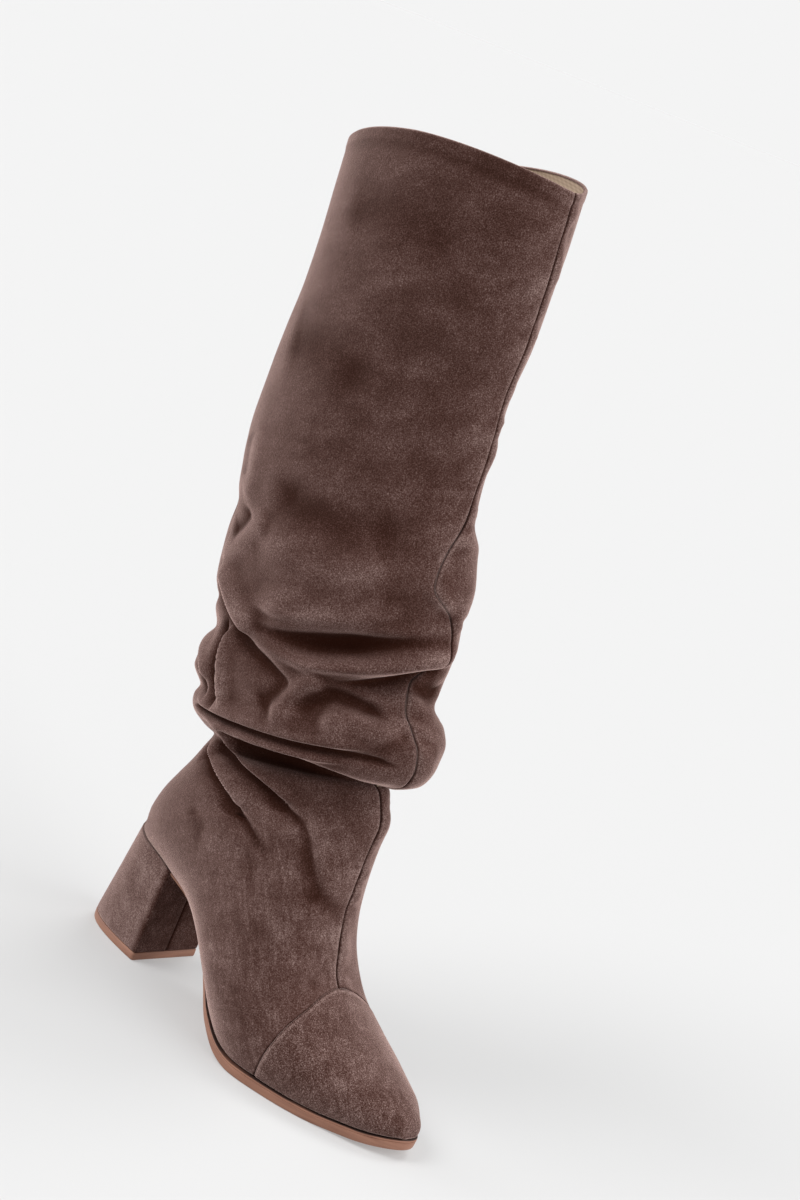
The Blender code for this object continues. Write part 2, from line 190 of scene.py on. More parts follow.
SECTIONS = [SectionRow(*row) for row in (
    ("tip edge", 237.8, 12.6, 237.8, NONE, 6.3, 3.6, 3.6, 0.3, 2.2, 2.0),
    ("tip wall", 237.0, 16.6, 237.3, NONE, 6.2, 6.4, 6.4, 0.4, 2.2, 2.0),
    ("tip top", 234.6, 20.0, 235.6, NONE, 6.1, 9.2, 9.0, 0.4, 2.2, 2.0),
    ("toe 1", 229.6, 23.6, 232.2, NONE, 5.7, 13.4, 12.2, 0.4, 2.2, 2.0),
    ("toe 2", 221.0, 28.5, 225.0, NONE, 4.8, 20, 18.5, 0.38, 2.15, 2.0),
    ("toe 3", 209.0, 33.5, 212.5, NONE, 3.5, 26, 24.5, 0.36, 2.1, 2.0),
    ("toe 4", 196.0, 39.0, 198.0, NONE, 2.2, 32, 30.5, 0.34, 2.05, 2.0),
    ("toe 5", 181.0, 46.0, 182.0, NONE, 0.6, 37, 36, 0.30, 2.0, 2.0),
    ("cap seam", 164.5, 57.0, 166.0, NONE, -0.6, 40, 38, 0.28, 2.0, 2.0),
    ("vamp 1", 158.5, 71.0, 148.0, NONE, -1.6, 42.5, 36.5, 0.27, 1.95, 2.0),
    ("vamp 2", 154.5, 87.0, 130.0, NONE, -2.0, 42, 34, 0.26, 1.9, 2.05),
    ("instep 1", 153.0, 103.0, 111.0, NONE, -2.0, 40.5, 32.5, 0.26, 1.9, 2.15),
    ("instep 2", 153.0, 118.0, 91.0, NONE, -1.5, 38.5, 32, 0.27, 1.9, 2.25),
    ("instep 3", 153.5, 131.0, 70.0, NONE, -1.0, 36.2, 32.5, 0.31, 1.85, 2.3),
    ("instep 4", 153.5, 140.5, 48.0, NONE, 0.0, 35.7, 34, 0.37, 1.85, 2.2),
    ("seat 1", 152.5, 145.5, 32.0, NONE, 0.0, 35.5, 34, 0.42, 1.85, 2.05),
    ("seat 2", 151.0, 149.0, 19.0, NONE, 0.0, 35, 34, 0.44, 1.85, 2.05),
    ("seat 3", 150.0, 151.0, 10.5, NONE, 0.0, 35, 34, 0.46, 1.85, 2.1),
    ("seat 4", 149.4, 152.4, 6.0, NONE, 0.0, 34.6, 34, 0.47, 1.85, 2.1),
    ("seat back", 149.0, 153.6, 4.5, NONE, 0.0, 34.2, 34, 0.48, 1.85, 2.15),
    ("counter 1", 148.0, 155.0, 5.0, 75.0, 0.0, 34, 33.5, 0.48, 1.85, 2.2),
    ("counter 2", 147.0, 156.6, 9.0, 88.0, 0.0, 33.8, 33.2, 0.48, 1.85, 2.2),
    ("counter 3", 146.0, 158.0, 15.5, 101.0, 0.0, 33.5, 33, 0.48, 1.8, 2.2),
    ("counter 4", 144.5, 159.2, 22.0, 113.0, 0.0, 33.2, 32.8, 0.48, 1.8, 2.2),
    ("counter 5", 143.0, 160.2, 27.0, 124.0, 0.0, 33, 32.5, 0.48, 1.8, 2.2),
    ("ankle gap", 142.0, 161.5, 31.0, 134.0, 0.0, 32.5, 32, 0.48, 1.8, 2.2),
    ("roll under", 152.0, 164.5, 21.0, 138.5, 0.0, 38.5, 38, 0.48, 1.75, 2.2),
    ("roll lip", 164.0, 170.5, 12.5, 143.0, 0.0, 43.5, 43, 0.48, 1.7, 2.2),
    ("roll nose", 169.0, 183.0, 10.5, 149.0, 0.0, 45.5, 45, 0.48, 1.65, 2.2),
    ("roll top", 168.0, 192.5, 12.5, 155.0, 0.0, 45, 45, 0.48, 1.65, 2.2),
    ("back roll", 162.5, 199.5, 2.5, 163.5, 0.0, 44.5, 44.5, 0.47, 1.65, 2.2),
    ("over roll", 156.0, 207.0, 4.0, 174.0, 0.0, 44.5, 44.5, 0.47, 1.65, 2.2),
    ("upper crease", 152.5, 218.0, 9.5, 188.0, 0.0, 44.5, 44.5, 0.47, 1.65, 2.2),
    ("fold nose low", 153.0, 229.0, 1.5, 201.0, 0.0, 46, 45.5, 0.47, 1.65, 2.2),
    ("fold nose", 152.5, 242.0, -3.5, 216.0, 0.0, 46.5, 46, 0.47, 1.65, 2.2),
    ("fold top", 149.5, 256.0, -6.0, 232.0, 0.0, 46.5, 46.5, 0.47, 1.6, 2.2),
    ("shaft 1", 147.0, 270.0, -8.0, 250.0, 0.0, 46.5, 46.5, 0.47, 1.6, 2.2),
    ("shaft 2", 140.0, 287.0, -11.5, 267.0, 0.0, 46.5, 46.5, 0.48, 1.55, 2.2),
    ("shaft 3", 133.5, 305.0, -15.5, 284.0, 0.0, 46.5, 46.5, 0.48, 1.55, 2.2),
    ("shaft 4", 130.5, 325.0, -17.5, 304.0, 0.0, 46.5, 46.5, 0.48, 1.5, 2.2),
    ("shaft 5", 128.5, 347.0, -17.5, 327.0, 0.0, 46.5, 46.5, 0.49, 1.5, 2.2),
    ("shaft 6", 126.0, 369.0, -16.5, 350.0, 0.0, 46.5, 46.5, 0.49, 1.55, 2.2),
    ("shaft 7", 127.0, 392.0, -15.0, 374.0, 0.0, 47, 47, 0.50, 1.6, 2.2),
    ("shaft 8", 126.0, 418.0, -15.5, 398.0, 0.0, 47.5, 47.5, 0.50, 1.6, 2.2),
    ("shaft 9", 124.0, 444.0, -17.0, 422.0, 0.0, 48.5, 48.5, 0.50, 1.65, 2.2),
    ("collar", 121.5, 471.0, -18.5, 445.0, 0.0, 49, 49, 0.50, 1.65, 2.2),
)]

SEAM_WANDER: dict[str, float] = {
    "cap seam": 0.0, "vamp 2": 0.0, "instep 4": -0.02, "counter 3": -0.03, "ankle gap": -0.05,
    "roll lip": -0.06, "roll nose": -0.075, "roll top": -0.09, "back roll": -0.10, "over roll": -0.11,
    "upper crease": -0.11, "fold nose low": -0.06, "fold nose": 0.0, "fold top": -0.04, "shaft 1": -0.12,
    "shaft 2": -0.09, "shaft 3": -0.02, "shaft 4": 0.01, "shaft 6": 0.015, "collar": 0.0,
}

FOLDS: dict[Side, tuple[Fold, ...]] = {
    Side.OUTER: (
        Fold("trough lip", ((52, 220), (76, 226), (100, 234), (120, 243), (140, 254)),
             2.8, 16, 5.0, 2.2, 0.3, 0.35),
        Fold("long trough", ((56, 209), (76, 212), (92, 216), (106, 221), (119, 227), (131, 233),
             (143, 240), (154, 248)), -8.2, 5.2, 6.6, 0.0, 0.45, 0.5, 2.6),
        Fold("nose tube", ((62, 202), (88, 206), (104, 210), (118, 215.5), (131, 221.5), (144, 229.5),
             (157, 240)), 4.6, 4.2, 5.0, 2.2, 0.35, 0.02),
        Fold("nose overhang", ((112, 203), (124, 208), (133, 213), (141, 218.5), (148, 225), (154, 231),
             (160, 237)), -6.8, 2.4, 5.5, 0.0, 0.5, 0.12, 1.6),
        Fold("left lip", ((18, 228), (34, 219), (50, 211), (68, 206)), 3.5, 8, 4.0, 2.5),
        Fold("left crease", ((20, 220), (34, 210), (48, 203), (66, 199), (85, 196), (100, 192)),
             -4.5, 2.6, 7.5, 0.0, 0.1, 0.3, 1.6),
        Fold("bridge", ((113, 206), (106, 196), (102, 184), (96, 171)), 3.4, 6.5, 7),
        Fold("bridge shade", ((96, 198), (91, 186), (84, 174)), -1.6, 6, 7),
        Fold("arc trough", ((99, 176), (106, 187), (113, 195), (121, 200), (131, 201), (141, 200),
             (151, 196)), -4.0, 3.4, 5.5, 0.0, 0.25, 0.25, 1.8),
        Fold("arc bulge", ((118, 184), (129, 189), (138, 193), (148, 193), (157, 189)), 3.5, 6, 8),
        Fold("roll rim", ((30, 155), (56, 160), (83, 166), (112, 173), (135, 180), (151, 184)),
             2.2, 5, 2.6, 2.2, 0.1, 0.25),
        Fold("roll crease", ((30, 150), (56, 155), (83, 161), (112, 168), (135, 175), (151, 179),
             (162, 180)), -3.2, 1.7, 2.2, 0.0, 0.08, 0.15, 1.7),
        Fold("roll strip", ((42, 149), (66, 153), (85, 157.5), (104, 162.5), (123, 167.5), (146, 173)),
             2.6, 2.6, 2.4, 1.6),
        Fold("roll gap", ((57, 146), (70, 148.5), (85, 151.5), (103, 155), (119, 158), (134, 161),
             (146, 164)), -10.5, 3.9, 6.2, 0.0, 0.14, 0.6, 2.2),
        Fold("heel crease lip", ((40, 136), (54, 131), (68, 127), (82, 123), (96, 118)), 2.6, 5, 2.2, 1.8),
        Fold("heel crease", ((38, 131), (52, 126), (67, 122), (81, 118), (95, 113), (110, 108), (124, 103)),
             -5.2, 2.3, 5.5, 0.0, 0.08, 0.55, 1.6),
        Fold("ankle ridge", ((52, 142), (66, 142), (80, 141), (94, 140), (108, 138), (122, 134)),
             2.4, 4, 2.4, 1.6),
        Fold("ankle crease", ((48, 138), (62, 138), (78, 137), (93, 136), (107, 133), (119, 130),
             (131, 126), (142, 117)), -5.2, 2.3, 5.5, 0.0, 0.08, 0.55, 1.6),
        Fold("vamp crease", ((120, 135), (131, 123), (141.5, 110), (149, 99), (156, 86)),
             -1.8, 2.6, 6.5, 0.0, 0.4, 0.3, 1.7),
        Fold("vamp crease lip", ((126, 136), (137, 124), (147, 111), (154, 97)), 1.0, 5, 3.4, 0.8),
        Fold("counter crease", ((54, 112), (64, 96), (76, 76)), -0.5, 5, 7, 0.0, 0.45, 0.45),
        Fold("waist crease", ((98, 104), (110, 96), (124, 82)), -0.6, 5, 7, 0.0, 0.45, 0.45),
        Fold("back edge lip", ((44, 206), (47, 188), (54, 174), (63, 161)), 2.6, 5, 3.0, 2.4),
        Fold("back edge", ((36, 204), (38, 186), (45, 171), (54, 157)), -4.5, 2.6, 3.0, 0.0, 0.2, 0.2, 1.7),
        Fold("back crease", ((-8, 184), (12, 178), (28, 169), (44, 159)),
             -4.0, 2.4, 3.0, 0.0, 0.1, 0.2, 1.7),
        Fold("back crease lip", ((-8, 189), (10, 184), (26, 175), (40, 165)), 2.0, 5, 2.6, 1.6, 0.1, 0.2),
        Fold("shaft dent", ((50, 262), (43, 256), (36, 247), (24, 235), (10, 230)), 1.8, 6, 7),
        Fold("shaft dent shade", ((30, 262), (27, 252), (18, 243)), -1.4, 6, 7),
        Fold("shaft streak", ((14, 300), (18, 288), (22, 272), (20, 262)), 1.0, 7, 8),
        Fold("shaft streak shade", ((4, 298), (8, 284), (10, 270)), -0.7, 8, 8),
        Fold("shaft hollow", ((40, 285), (70, 277), (100, 281), (124, 290)), -2.4, 12, 12),
        Fold("shaft swell", ((40, 256), (75, 252), (105, 258), (128, 268)), 2.0, 12, 12),
        Fold("calf hollow", ((10, 345), (40, 352), (80, 347)), -1.2, 16, 16),
        Fold("knee hollow", ((20, 420), (60, 428), (100, 424)), -1.0, 16, 14),
        Fold("seam dimple", ((144, 258), (149, 268), (154, 280)), 1.8, 7, 6),
        Fold("seam dimple shade", ((153, 256), (157, 266), (160, 278)), -2.0, 4, 4),
    ),
    Side.INNER: (
        Fold("inner nose pocket", ((138, 200), (147, 206), (156, 212)), -2.2, 5, 6, 0.0, 0.4, 0.4),
        Fold("inner roll bulge", ((138, 194), (152, 197), (166, 200)), 2.2, 8, 9),
        Fold("seam puff", ((128, 300), (140, 282), (148, 268), (156, 254)), 3.5, 9, 9),
        Fold("inner trough lip", ((30, 232), (64, 236), (100, 246), (138, 261)), 3.0, 10, 4.5, 2.6),
        Fold("inner trough", ((30, 222), (64, 226), (100, 236), (140, 250)), -6.0, 4.5, 6, 0.0, 0.35, 0.55),
        Fold("inner tube", ((40, 211), (70, 214), (104, 223), (140, 236)), 4.0, 5, 6, 2.6),
        Fold("inner overhang", ((56, 196), (96, 202), (124, 210), (146, 216)), -4.0, 3.5, 7, 0.0, 0.3, 0.6),
        Fold("inner bulge", ((40, 176), (80, 180), (120, 188), (150, 194)), 3.0, 8, 8),
        Fold("inner roll rim", ((24, 158), (60, 164), (100, 174), (146, 186)), 2.2, 5, 2.6, 2.2),
        Fold("inner roll crease", ((24, 152), (60, 158), (100, 168), (150, 180)),
             -3.4, 2.0, 2.8, 0.0, 0.3, 0.5, 1.7),
        Fold("inner heel crease", ((36, 132), (60, 124), (88, 116), (116, 110)),
             -3.4, 4.5, 2.8, 0.0, 0.35, 0.5, 1.7),
        Fold("inner ankle crease", ((50, 141), (84, 139), (112, 135), (138, 126)),
             -3.2, 4.5, 2.8, 0.0, 0.35, 0.5, 1.7),
        Fold("inner shaft hollow", ((20, 290), (60, 280), (110, 288)), -2.4, 12, 12),
        Fold("inner shaft dent", ((-6, 268), (20, 258), (50, 262)), -3.0, 6, 8),
        Fold("inner shaft swell", ((20, 252), (70, 256), (120, 268)), 2.2, 12, 12),
        Fold("inner calf hollow", ((10, 350), (50, 356), (96, 350)), -1.4, 16, 16),
    ),
    Side.BOTH: (
        Fold("seam pocket", ((148, 213), (157, 221), (164, 230)), -3.5, 5, 6),
        Fold("back pinch", ((-14, 262), (0, 256), (14, 258)), -1.6, 6, 8),
        Fold("back fold", ((-12, 214), (4, 206), (22, 208)), -3.0, 4, 6),
    ),
}


def soft_step(value: Array) -> Array:
    """0 below 0, 1 above 1, with no corner between."""
    value = np.clip(value, 0, 1)
    return value * value * (3 - 2 * value)


def bell(away: Array, width: float | Array) -> Array:
    """1 where away is 0, dying off softly over the width on both sides."""
    return np.exp(-(away / width) ** 2)


def blend(pair: tuple[float, float], share: Array) -> Array:
    """From the first value to the second one as the share goes from 0 to 1."""
    return pair[0] + (pair[1] - pair[0]) * share


def drawn(edges: PanelEdges | CapEdges, lines: Sequence[Line]) -> Array:
    """Sum of soft lines beside a piece's edges."""
    return sum(line.strength * bell(getattr(edges, line.edge) - line.place, line.width) for line in lines)


def smooth_curve(knots: Sequence[float], values: Sequence[float], at: Array) -> Array:
    """Smooth curve through values at the knots, with no overshoot at a flat stretch.

    Args:
        knots: Rising positions.
        values: Value at each of them.
        at: Where the curve is read.

    Returns:
        The curve's values there.
    """
    knots = np.asarray(knots, float)
    values = np.asarray(values, float)
    step = np.diff(knots)
    slope = np.diff(values) / step
    tangent = np.zeros_like(values)
    tangent[0], tangent[-1] = slope[0], slope[-1]
    weight = step[1:] / (step[:-1] + step[1:])
    between = weight * slope[:-1] + (1 - weight) * slope[1:]
    tangent[1:-1] = np.where(slope[:-1] * slope[1:] > 0, between, 0.0)
    at = np.clip(at, knots[0], knots[-1])
    i = np.clip(np.searchsorted(knots, at, side="right") - 1, 0, len(step) - 1)
    t = (at - knots[i]) / step[i]
    t2 = t * t
    t3 = t2 * t
    start = (2 * t3 - 3 * t2 + 1) * values[i] + (t3 - 2 * t2 + t) * tangent[i] * step[i]
    return start + (3 * t2 - 2 * t3) * values[i + 1] + (t3 - t2) * tangent[i + 1] * step[i]


@dataclass(frozen=True)
class Last:
    """The boot's form: sole plan, feather plane and the upper's sections."""

    wall: float = 1.8
    gap: float = 0.3
    feather_inset: float = 1.5
    rim_rise: float = 13.0
    rim_rows: float = 8.0
    seat_back: float = 3.0
    toe_tip: float = 240.0
    heel_round: float = 25.0
    seat_squareness: float = 2.3
    toe_round: float = 20.0
    rim_power: float = 1.5

    @staticmethod
    def row(name: str) -> int:
        """Number of a section in the table, from the tip of the toe to the collar."""
        return [section.name for section in SECTIONS].index(name)

    @property
    def shift(self) -> Array:
        """What brings the middle of the boot's box over the origin."""
        return np.array((-(self.toe_tip + SECTIONS[-1].xb) / 2, 0.0, 0.0))

    def plan_half(self, x: Array, inset: float = 0.0) -> Array:
        """Half width of the sole plan at x, rounded off at the heel and the toe.

        Args:
            x: Stations along the sole, mm.
            inset: How far in from the plan it is read, mm.

        Returns:
            The half widths, mm.
        """
        half = smooth_curve([r.x for r in SOLE_PLAN], [r.half for r in SOLE_PLAN], x) - inset
        heel = np.clip((x - self.seat_back - inset) / self.heel_round, 0, 1)
        toe = np.clip((self.toe_tip - inset - x) / self.toe_round, 0, 1)
        half = half * (1 - (1 - heel) ** self.seat_squareness) ** (1 / self.seat_squareness)
        return half * (1 - (1 - toe) ** 2) ** 0.5

    def plan_centre(self, x: Array) -> Array:
        """Centre line of the sole plan at x."""
        return smooth_curve([r.x for r in SOLE_PLAN], [r.centre for r in SOLE_PLAN], x)

    def feather(self, x: Array) -> Array:
        """Height of the feather plane at x."""
        return smooth_curve([r.x for r in FEATHER_SIDE], [r.z for r in FEATHER_SIDE], x)

    def values(self, t: Array) -> dict[str, Array]:
        """Every column of the section table at row numbers t, which may lie between two rows.

        Args:
            t: Row numbers.

        Returns:
            Values at them by the column's name.
        """
        rows = range(len(SECTIONS))
        names = ("xf", "zf", "xb", "yc", "out", "inn", "vm", "nf", "nb")
        found = {name: smooth_curve(rows, [getattr(s, name) for s in SECTIONS], t) for name in names}
        seat = self.row("seat back")
        on_sole = self.feather(found["xb"]) + self.gap
        upward = [float(self.feather(np.array(SECTIONS[seat].xb))) + self.gap]
        upward += [s.zb for s in SECTIONS[seat + 1:]]
        above = smooth_curve(range(seat, len(SECTIONS)), upward, np.maximum(t, seat))
        found["zb"] = np.where(t <= seat, on_sole, above)
        return found

    def point(self, t: Array, u: Array) -> Array:
        """Points of the upper's outer face.

        Args:
            t: Row numbers in the section table.
            u: Place round the section, -1 and 1 at the back or the sole, 0 at the front.

        Returns:
            Points in mm, in the last's own frame.
        """
        s = self.values(t)
        side = np.where(u > 0, 1.0, -1.0)
        wide = np.where(side > 0, s["inn"], s["out"])
        half = self.plan_half(s["xb"], self.feather_inset)
        foot = np.maximum(half + side * (self.plan_centre(s["xb"]) - s["yc"]), 0)
        on_sole = t < self.row("seat back")
        foot = np.where(on_sole, foot, 0.0)
        wide = np.where(on_sole, np.maximum(wide, foot + self.gap), wide)
        end = math.pi - np.arcsin((foot / wide) ** (s["nb"] / 2))
        angle = end * np.abs(u)
        sine = np.maximum(np.sin(angle), 0)
        cosine = np.abs(np.cos(angle))
        front = angle <= math.pi / 2
        across = wide * np.where(front, sine ** (2 / s["nf"]), sine ** (2 / s["nb"]))
        reach = np.abs(np.cos(end)) ** (2 / s["nb"])
        fore = s["vm"] + (1 - s["vm"]) * cosine ** (2 / s["nf"])
        aft = s["vm"] * (1 - cosine ** (2 / s["nb"]) / reach)
        along = np.where(front, fore, aft)
        x = s["xb"] + along * (s["xf"] - s["xb"])
        z = s["zb"] + along * (s["zf"] - s["zb"])
        rim = np.maximum((t - self.row("collar")) / self.rim_rows + 1, 0) ** 2
        z = z + self.rim_rise * rim * sine ** self.rim_power
        return np.stack([x, s["yc"] + side * across, z], -1)


@dataclass(frozen=True)
class FoldField:
    """Moves the upper's surface along its listed folds."""

    path_points: int = 40
    side_fade: float = 14.0
    reach: float = 2.6
    end_width: float = 0.45

    def shift(self, points: Array) -> tuple[Array, Array]:
        """How far the folds move the upper.

        Args:
            points: Points of the plain form in mm, in the last's frame.

        Returns:
            Height over the plain form at each point, and the way it slides along the side view, mm.
        """
        flat = points.reshape(-1, 3)
        height = np.zeros(len(flat))
        slide = np.zeros((len(flat), 3))
        for side, folds in FOLDS.items():
            on_side = np.ones(len(flat))
            if side != Side.BOTH:
                on_side = soft_step(0.5 + side * flat[:, 1] / self.side_fade)
            for fold in folds:
                path = self.path(fold)
                margin = self.reach * max(fold.left, fold.right)
                seen = flat[:, (0, 2)]
                near = ((seen > path.min(0) - margin) & (seen < path.max(0) + margin)).all(1) & (on_side > 0)
                if near.any():
                    share, right = self.profile(fold, path, seen[near])
                    share = share * on_side[near]
                    height[near] += fold.height * share
                    slide[near] += (fold.slide * share)[:, None] * right
        return height.reshape(points.shape[:-1]), slide.reshape(points.shape)

    def path(self, fold: Fold) -> Array:
        """The fold's path as a smooth line of points.

        Args:
            fold: The fold.

        Returns:
            Points of x and z, mm.
        """
        at = np.linspace(0, len(fold.path) - 1, self.path_points)
        knots = range(len(fold.path))
        return np.stack([smooth_curve(knots, [point[k] for point in fold.path], at) for k in (0, 1)], 1)

    def profile(self, fold: Fold, path: Array, spot: Array) -> tuple[Array, Array]:
        """Share of one fold's height at the points near it, and the direction to the right of its path.

        Args:
            fold: The fold.
            path: Its smooth path.
            spot: The points in the side view, as x and z in mm.

        Returns:
            A share for each point, and a unit vector for each.
        """
        start, step = path[:-1], np.diff(path, axis=0)
        away = spot[:, None] - start[None]
        share = np.clip((away * step).sum(-1) / (step ** 2).sum(-1), 0, 1)
        apart = away - share[..., None] * step
        distance = np.sqrt((apart ** 2).sum(-1))
        nearest = distance.argmin(1)
        row = np.arange(len(spot))
        way = step[nearest] / np.linalg.norm(step[nearest], axis=1, keepdims=True)
        gap = apart[row, nearest]
        left = way[:, 0] * gap[:, 1] - way[:, 1] * gap[:, 0] > 0
        along = (nearest + share[row, nearest]) / len(step)
        ends = soft_step(along / fold.fade_in) * soft_step((1 - along) / fold.fade_out)
        width = np.where(left, fold.left, fold.right) * (self.end_width + (1 - self.end_width) * ends)
        found = ends * np.exp(-(distance[row, nearest] / width) ** fold.power)
        return found, np.stack([way[:, 1], np.zeros(len(spot)), -way[:, 0]], 1)


def srgb(code: str) -> tuple[float, float, float, float]:
    """Linear colour of an sRGB hex value such as '6e5850'.

    Args:
        code: The hex value.

    Returns:
        Red, green, blue and 1.
    """
    channels = [int(code[i:i + 2], 16) / 255 for i in (0, 2, 4)]
    linear = [c / 12.92 if c <= 0.04045 else ((c + 0.055) / 1.055) ** 2.4 for c in channels]
    return (*linear, 1.0)


def per_mm(size: float) -> float:
    """Noise scale that gives features of this size in mm, on coordinates in metres."""
    return 1000.0 / size


def set_stops(ramp: ColorRamp, stops: Sequence[tuple[float, tuple]]) -> None:
    """Gives a colour ramp its stops of place and linear colour.

    Args:
        ramp: The ramp of a new node.
        stops: Place from 0 to 1 and linear colour of each stop, in order.
    """
    while len(ramp.elements) < len(stops):
        ramp.elements.new(0.5)
    for element, (place, colour) in zip(ramp.elements, stops):
        element.position = place
        element.color = colour


def add_node(tree: NodeTree, kind: str, settings: dict | None = None, links: dict | None = None) -> Node:
    """Adds a node with its settings and links.

    Args:
        tree: The material's node tree.
        kind: Node type, such as ShaderNodeTexNoise.
        settings: Properties by name, socket values by the socket's name or number, and a ramp's "stops".
        links: Output sockets that feed this node, by the input's name or number.

    Returns:
        The new node.
    """
    node = tree.nodes.new(kind)
    for name, value in (settings or {}).items():
        if name == "stops":
            set_stops(node.color_ramp, value)
        elif isinstance(name, str) and hasattr(node, name):
            setattr(node, name, value)
        else:
            node.inputs[name].default_value = value
    for name, output in (links or {}).items():
        tree.links.new(output, node.inputs[name])
    return node


def new_material(name: str) -> tuple[Material, NodeTree]:
    """A material with an empty node tree.

    Args:
        name: Its name.

    Returns:
        The material and its node tree.
    """
    material = bpy.data.materials.new(name)
    material.use_nodes = True
    material.node_tree.nodes.clear()
    return material, material.node_tree


def weigh(tree: NodeTree, parts: Sequence[tuple], offset: float) -> NodeSocket:
    """Sum of node outputs, each times its weight, plus an offset.

    Args:
        tree: The material's node tree.
        parts: Pairs of a node output and its weight.
        offset: What is added to the sum.

    Returns:
        The sum's output.
    """
    total = None
    for output, weight in parts:
        settings = {"operation": "MULTIPLY_ADD", 1: weight}
        links = {0: output}
        if total is None:
            settings[2] = offset
        else:
            links[2] = total
        total = add_node(tree, "ShaderNodeMath", settings, links).outputs[0]
    return total


@dataclass(frozen=True)
class Suede:
    """Brushed split suede: a short nap that goes light or dark with the way it was stroked.

    To the eye it has no gloss, cloudy strokes that run round the leg, a fine grain, and a pale bloom
    where it turns away from the eye. Its marks are "ridge" (over 0 lighter on fold tops and edges, part
    wear and part painted light; under 0 painted shade in a crease), "seam" (painted shade in a seam) and
    "foot" (scuffed, from the ankle down).
    """

    name: str
    tones: tuple[str, ...] = ("2a0f05", "321b13", "452c26", "614a45", "8f7872")
    places: tuple[float, ...] = (0.0, 0.28, 0.5, 0.74, 1.0)
    patch_mm: float = 13.0
    streak_mm: float = 5.0
    scuff_mm: float = 5.0
    # A real nap's hairs are under 0.1 mm; they are drawn as tufts, coarse enough to show.
    nap_mm: float = 0.65
    stroke: float = 2.4
    stroke_angle: float = -0.42
    scuff_stretch: tuple[float, float, float] = (3.0, 1.0, 0.8)
    scuff_angle: float = 0.9
    contrast: float = 1.0
    patch_tone: float = 0.5
    streak_tone: float = 0.2
    scuff: float = 0.1
    grain: float = 1.5
    tone_lift: float = 0.0
    ridge_tone: float = 0.2
    seam_tone: float = -0.45
    foot_tone: float = -0.16
    foot_scuff: float = 0.5
    bloom: str = "f6d3ca"
    bloom_fade: float = 0.8

    def build(self) -> Material:
        """Makes the material.

        Returns:
            The finished material.
        """
        material, tree = new_material(self.name)
        place = add_node(tree, "ShaderNodeTexCoord").outputs["Object"]
        turns = ((self.stroke_angle, (self.stroke, 1.0, 1.0)), (self.scuff_angle, self.scuff_stretch))
        stroked, slanted = (
            add_node(tree, "ShaderNodeMapping", {"vector_type": "TEXTURE", "Rotation": (0.0, angle, 0.0),
                     "Scale": stretch}, {"Vector": place}).outputs[0] for angle, stretch in turns)
        # Coordinates, size in mm, detail, roughness and distortion of each pattern.
        patterns = ((stroked, self.patch_mm, 3.0, 0.5, 0.3), (stroked, self.streak_mm, 4.0, 0.6, 0.5),
                    (slanted, self.scuff_mm, 5.0, 0.65, 0.8), (place, self.nap_mm, 2.0, 0.75, 0.0))
        patch, streak, scuff, nap = (
            add_node(tree, "ShaderNodeTexNoise", {"Scale": per_mm(size), "Detail": detail, "Roughness": rough,
                     "Distortion": bent}, {"Vector": along}).outputs["Fac"]
            for along, size, detail, rough, bent in patterns)
        ridge, seam, foot = (add_node(tree, "ShaderNodeAttribute", {"attribute_name": key}).outputs["Fac"]
                             for key in ("ridge", "seam", "foot"))
        clouds = ((patch, self.patch_tone * self.contrast), (streak, self.streak_tone * self.contrast),
                  (scuff, self.scuff), (nap, self.grain))
        middle = 0.5 + self.tone_lift - 0.5 * sum(weight for _, weight in clouds)
        on_foot = add_node(tree, "ShaderNodeMath", {"operation": "MULTIPLY"}, {0: scuff, 1: foot}).outputs[0]
        # The ridge and seam marks paint light and shade: light on fold tops and edges, partly wear, and shade
        # in creases and seams.
        marked = ((ridge, self.ridge_tone), (seam, self.seam_tone), (on_foot, self.foot_scuff),
                  (foot, self.foot_tone))
        stops = [(at, srgb(code)) for at, code in zip(self.places, self.tones)]
        tone = weigh(tree, clouds + marked, middle)
        colour = add_node(tree, "ShaderNodeValToRGB", {"stops": stops}, {"Fac": tone}).outputs["Color"]
        pile = add_node(tree, "ShaderNodeBump", {"Strength": 0.7, "Distance": 0.4 * MM}, {"Height": nap})
        lay = add_node(tree, "ShaderNodeBump", {"Strength": 0.2, "Distance": 0.8 * MM},
                       {"Height": streak, "Normal": pile.outputs[0]})
        # A crease hides its nap from the light, so the bloom is turned down there: painted shade.
        fading = {"operation": "MULTIPLY_ADD", "use_clamp": True, 1: self.bloom_fade, 2: 1.0}
        bloom = add_node(tree, "ShaderNodeMath", fading, {0: ridge})
        shader = add_node(tree, "ShaderNodeBsdfPrincipled",
                          {"Roughness": 0.95, "Specular IOR Level": 0.1, "Sheen Roughness": 0.4,
                           "Sheen Tint": srgb(self.bloom)},
                          {"Base Color": colour, "Normal": lay.outputs[0], "Sheen Weight": bloom.outputs[0]})
        add_node(tree, "ShaderNodeOutputMaterial", {}, {"Surface": shader.outputs["BSDF"]})
        return material


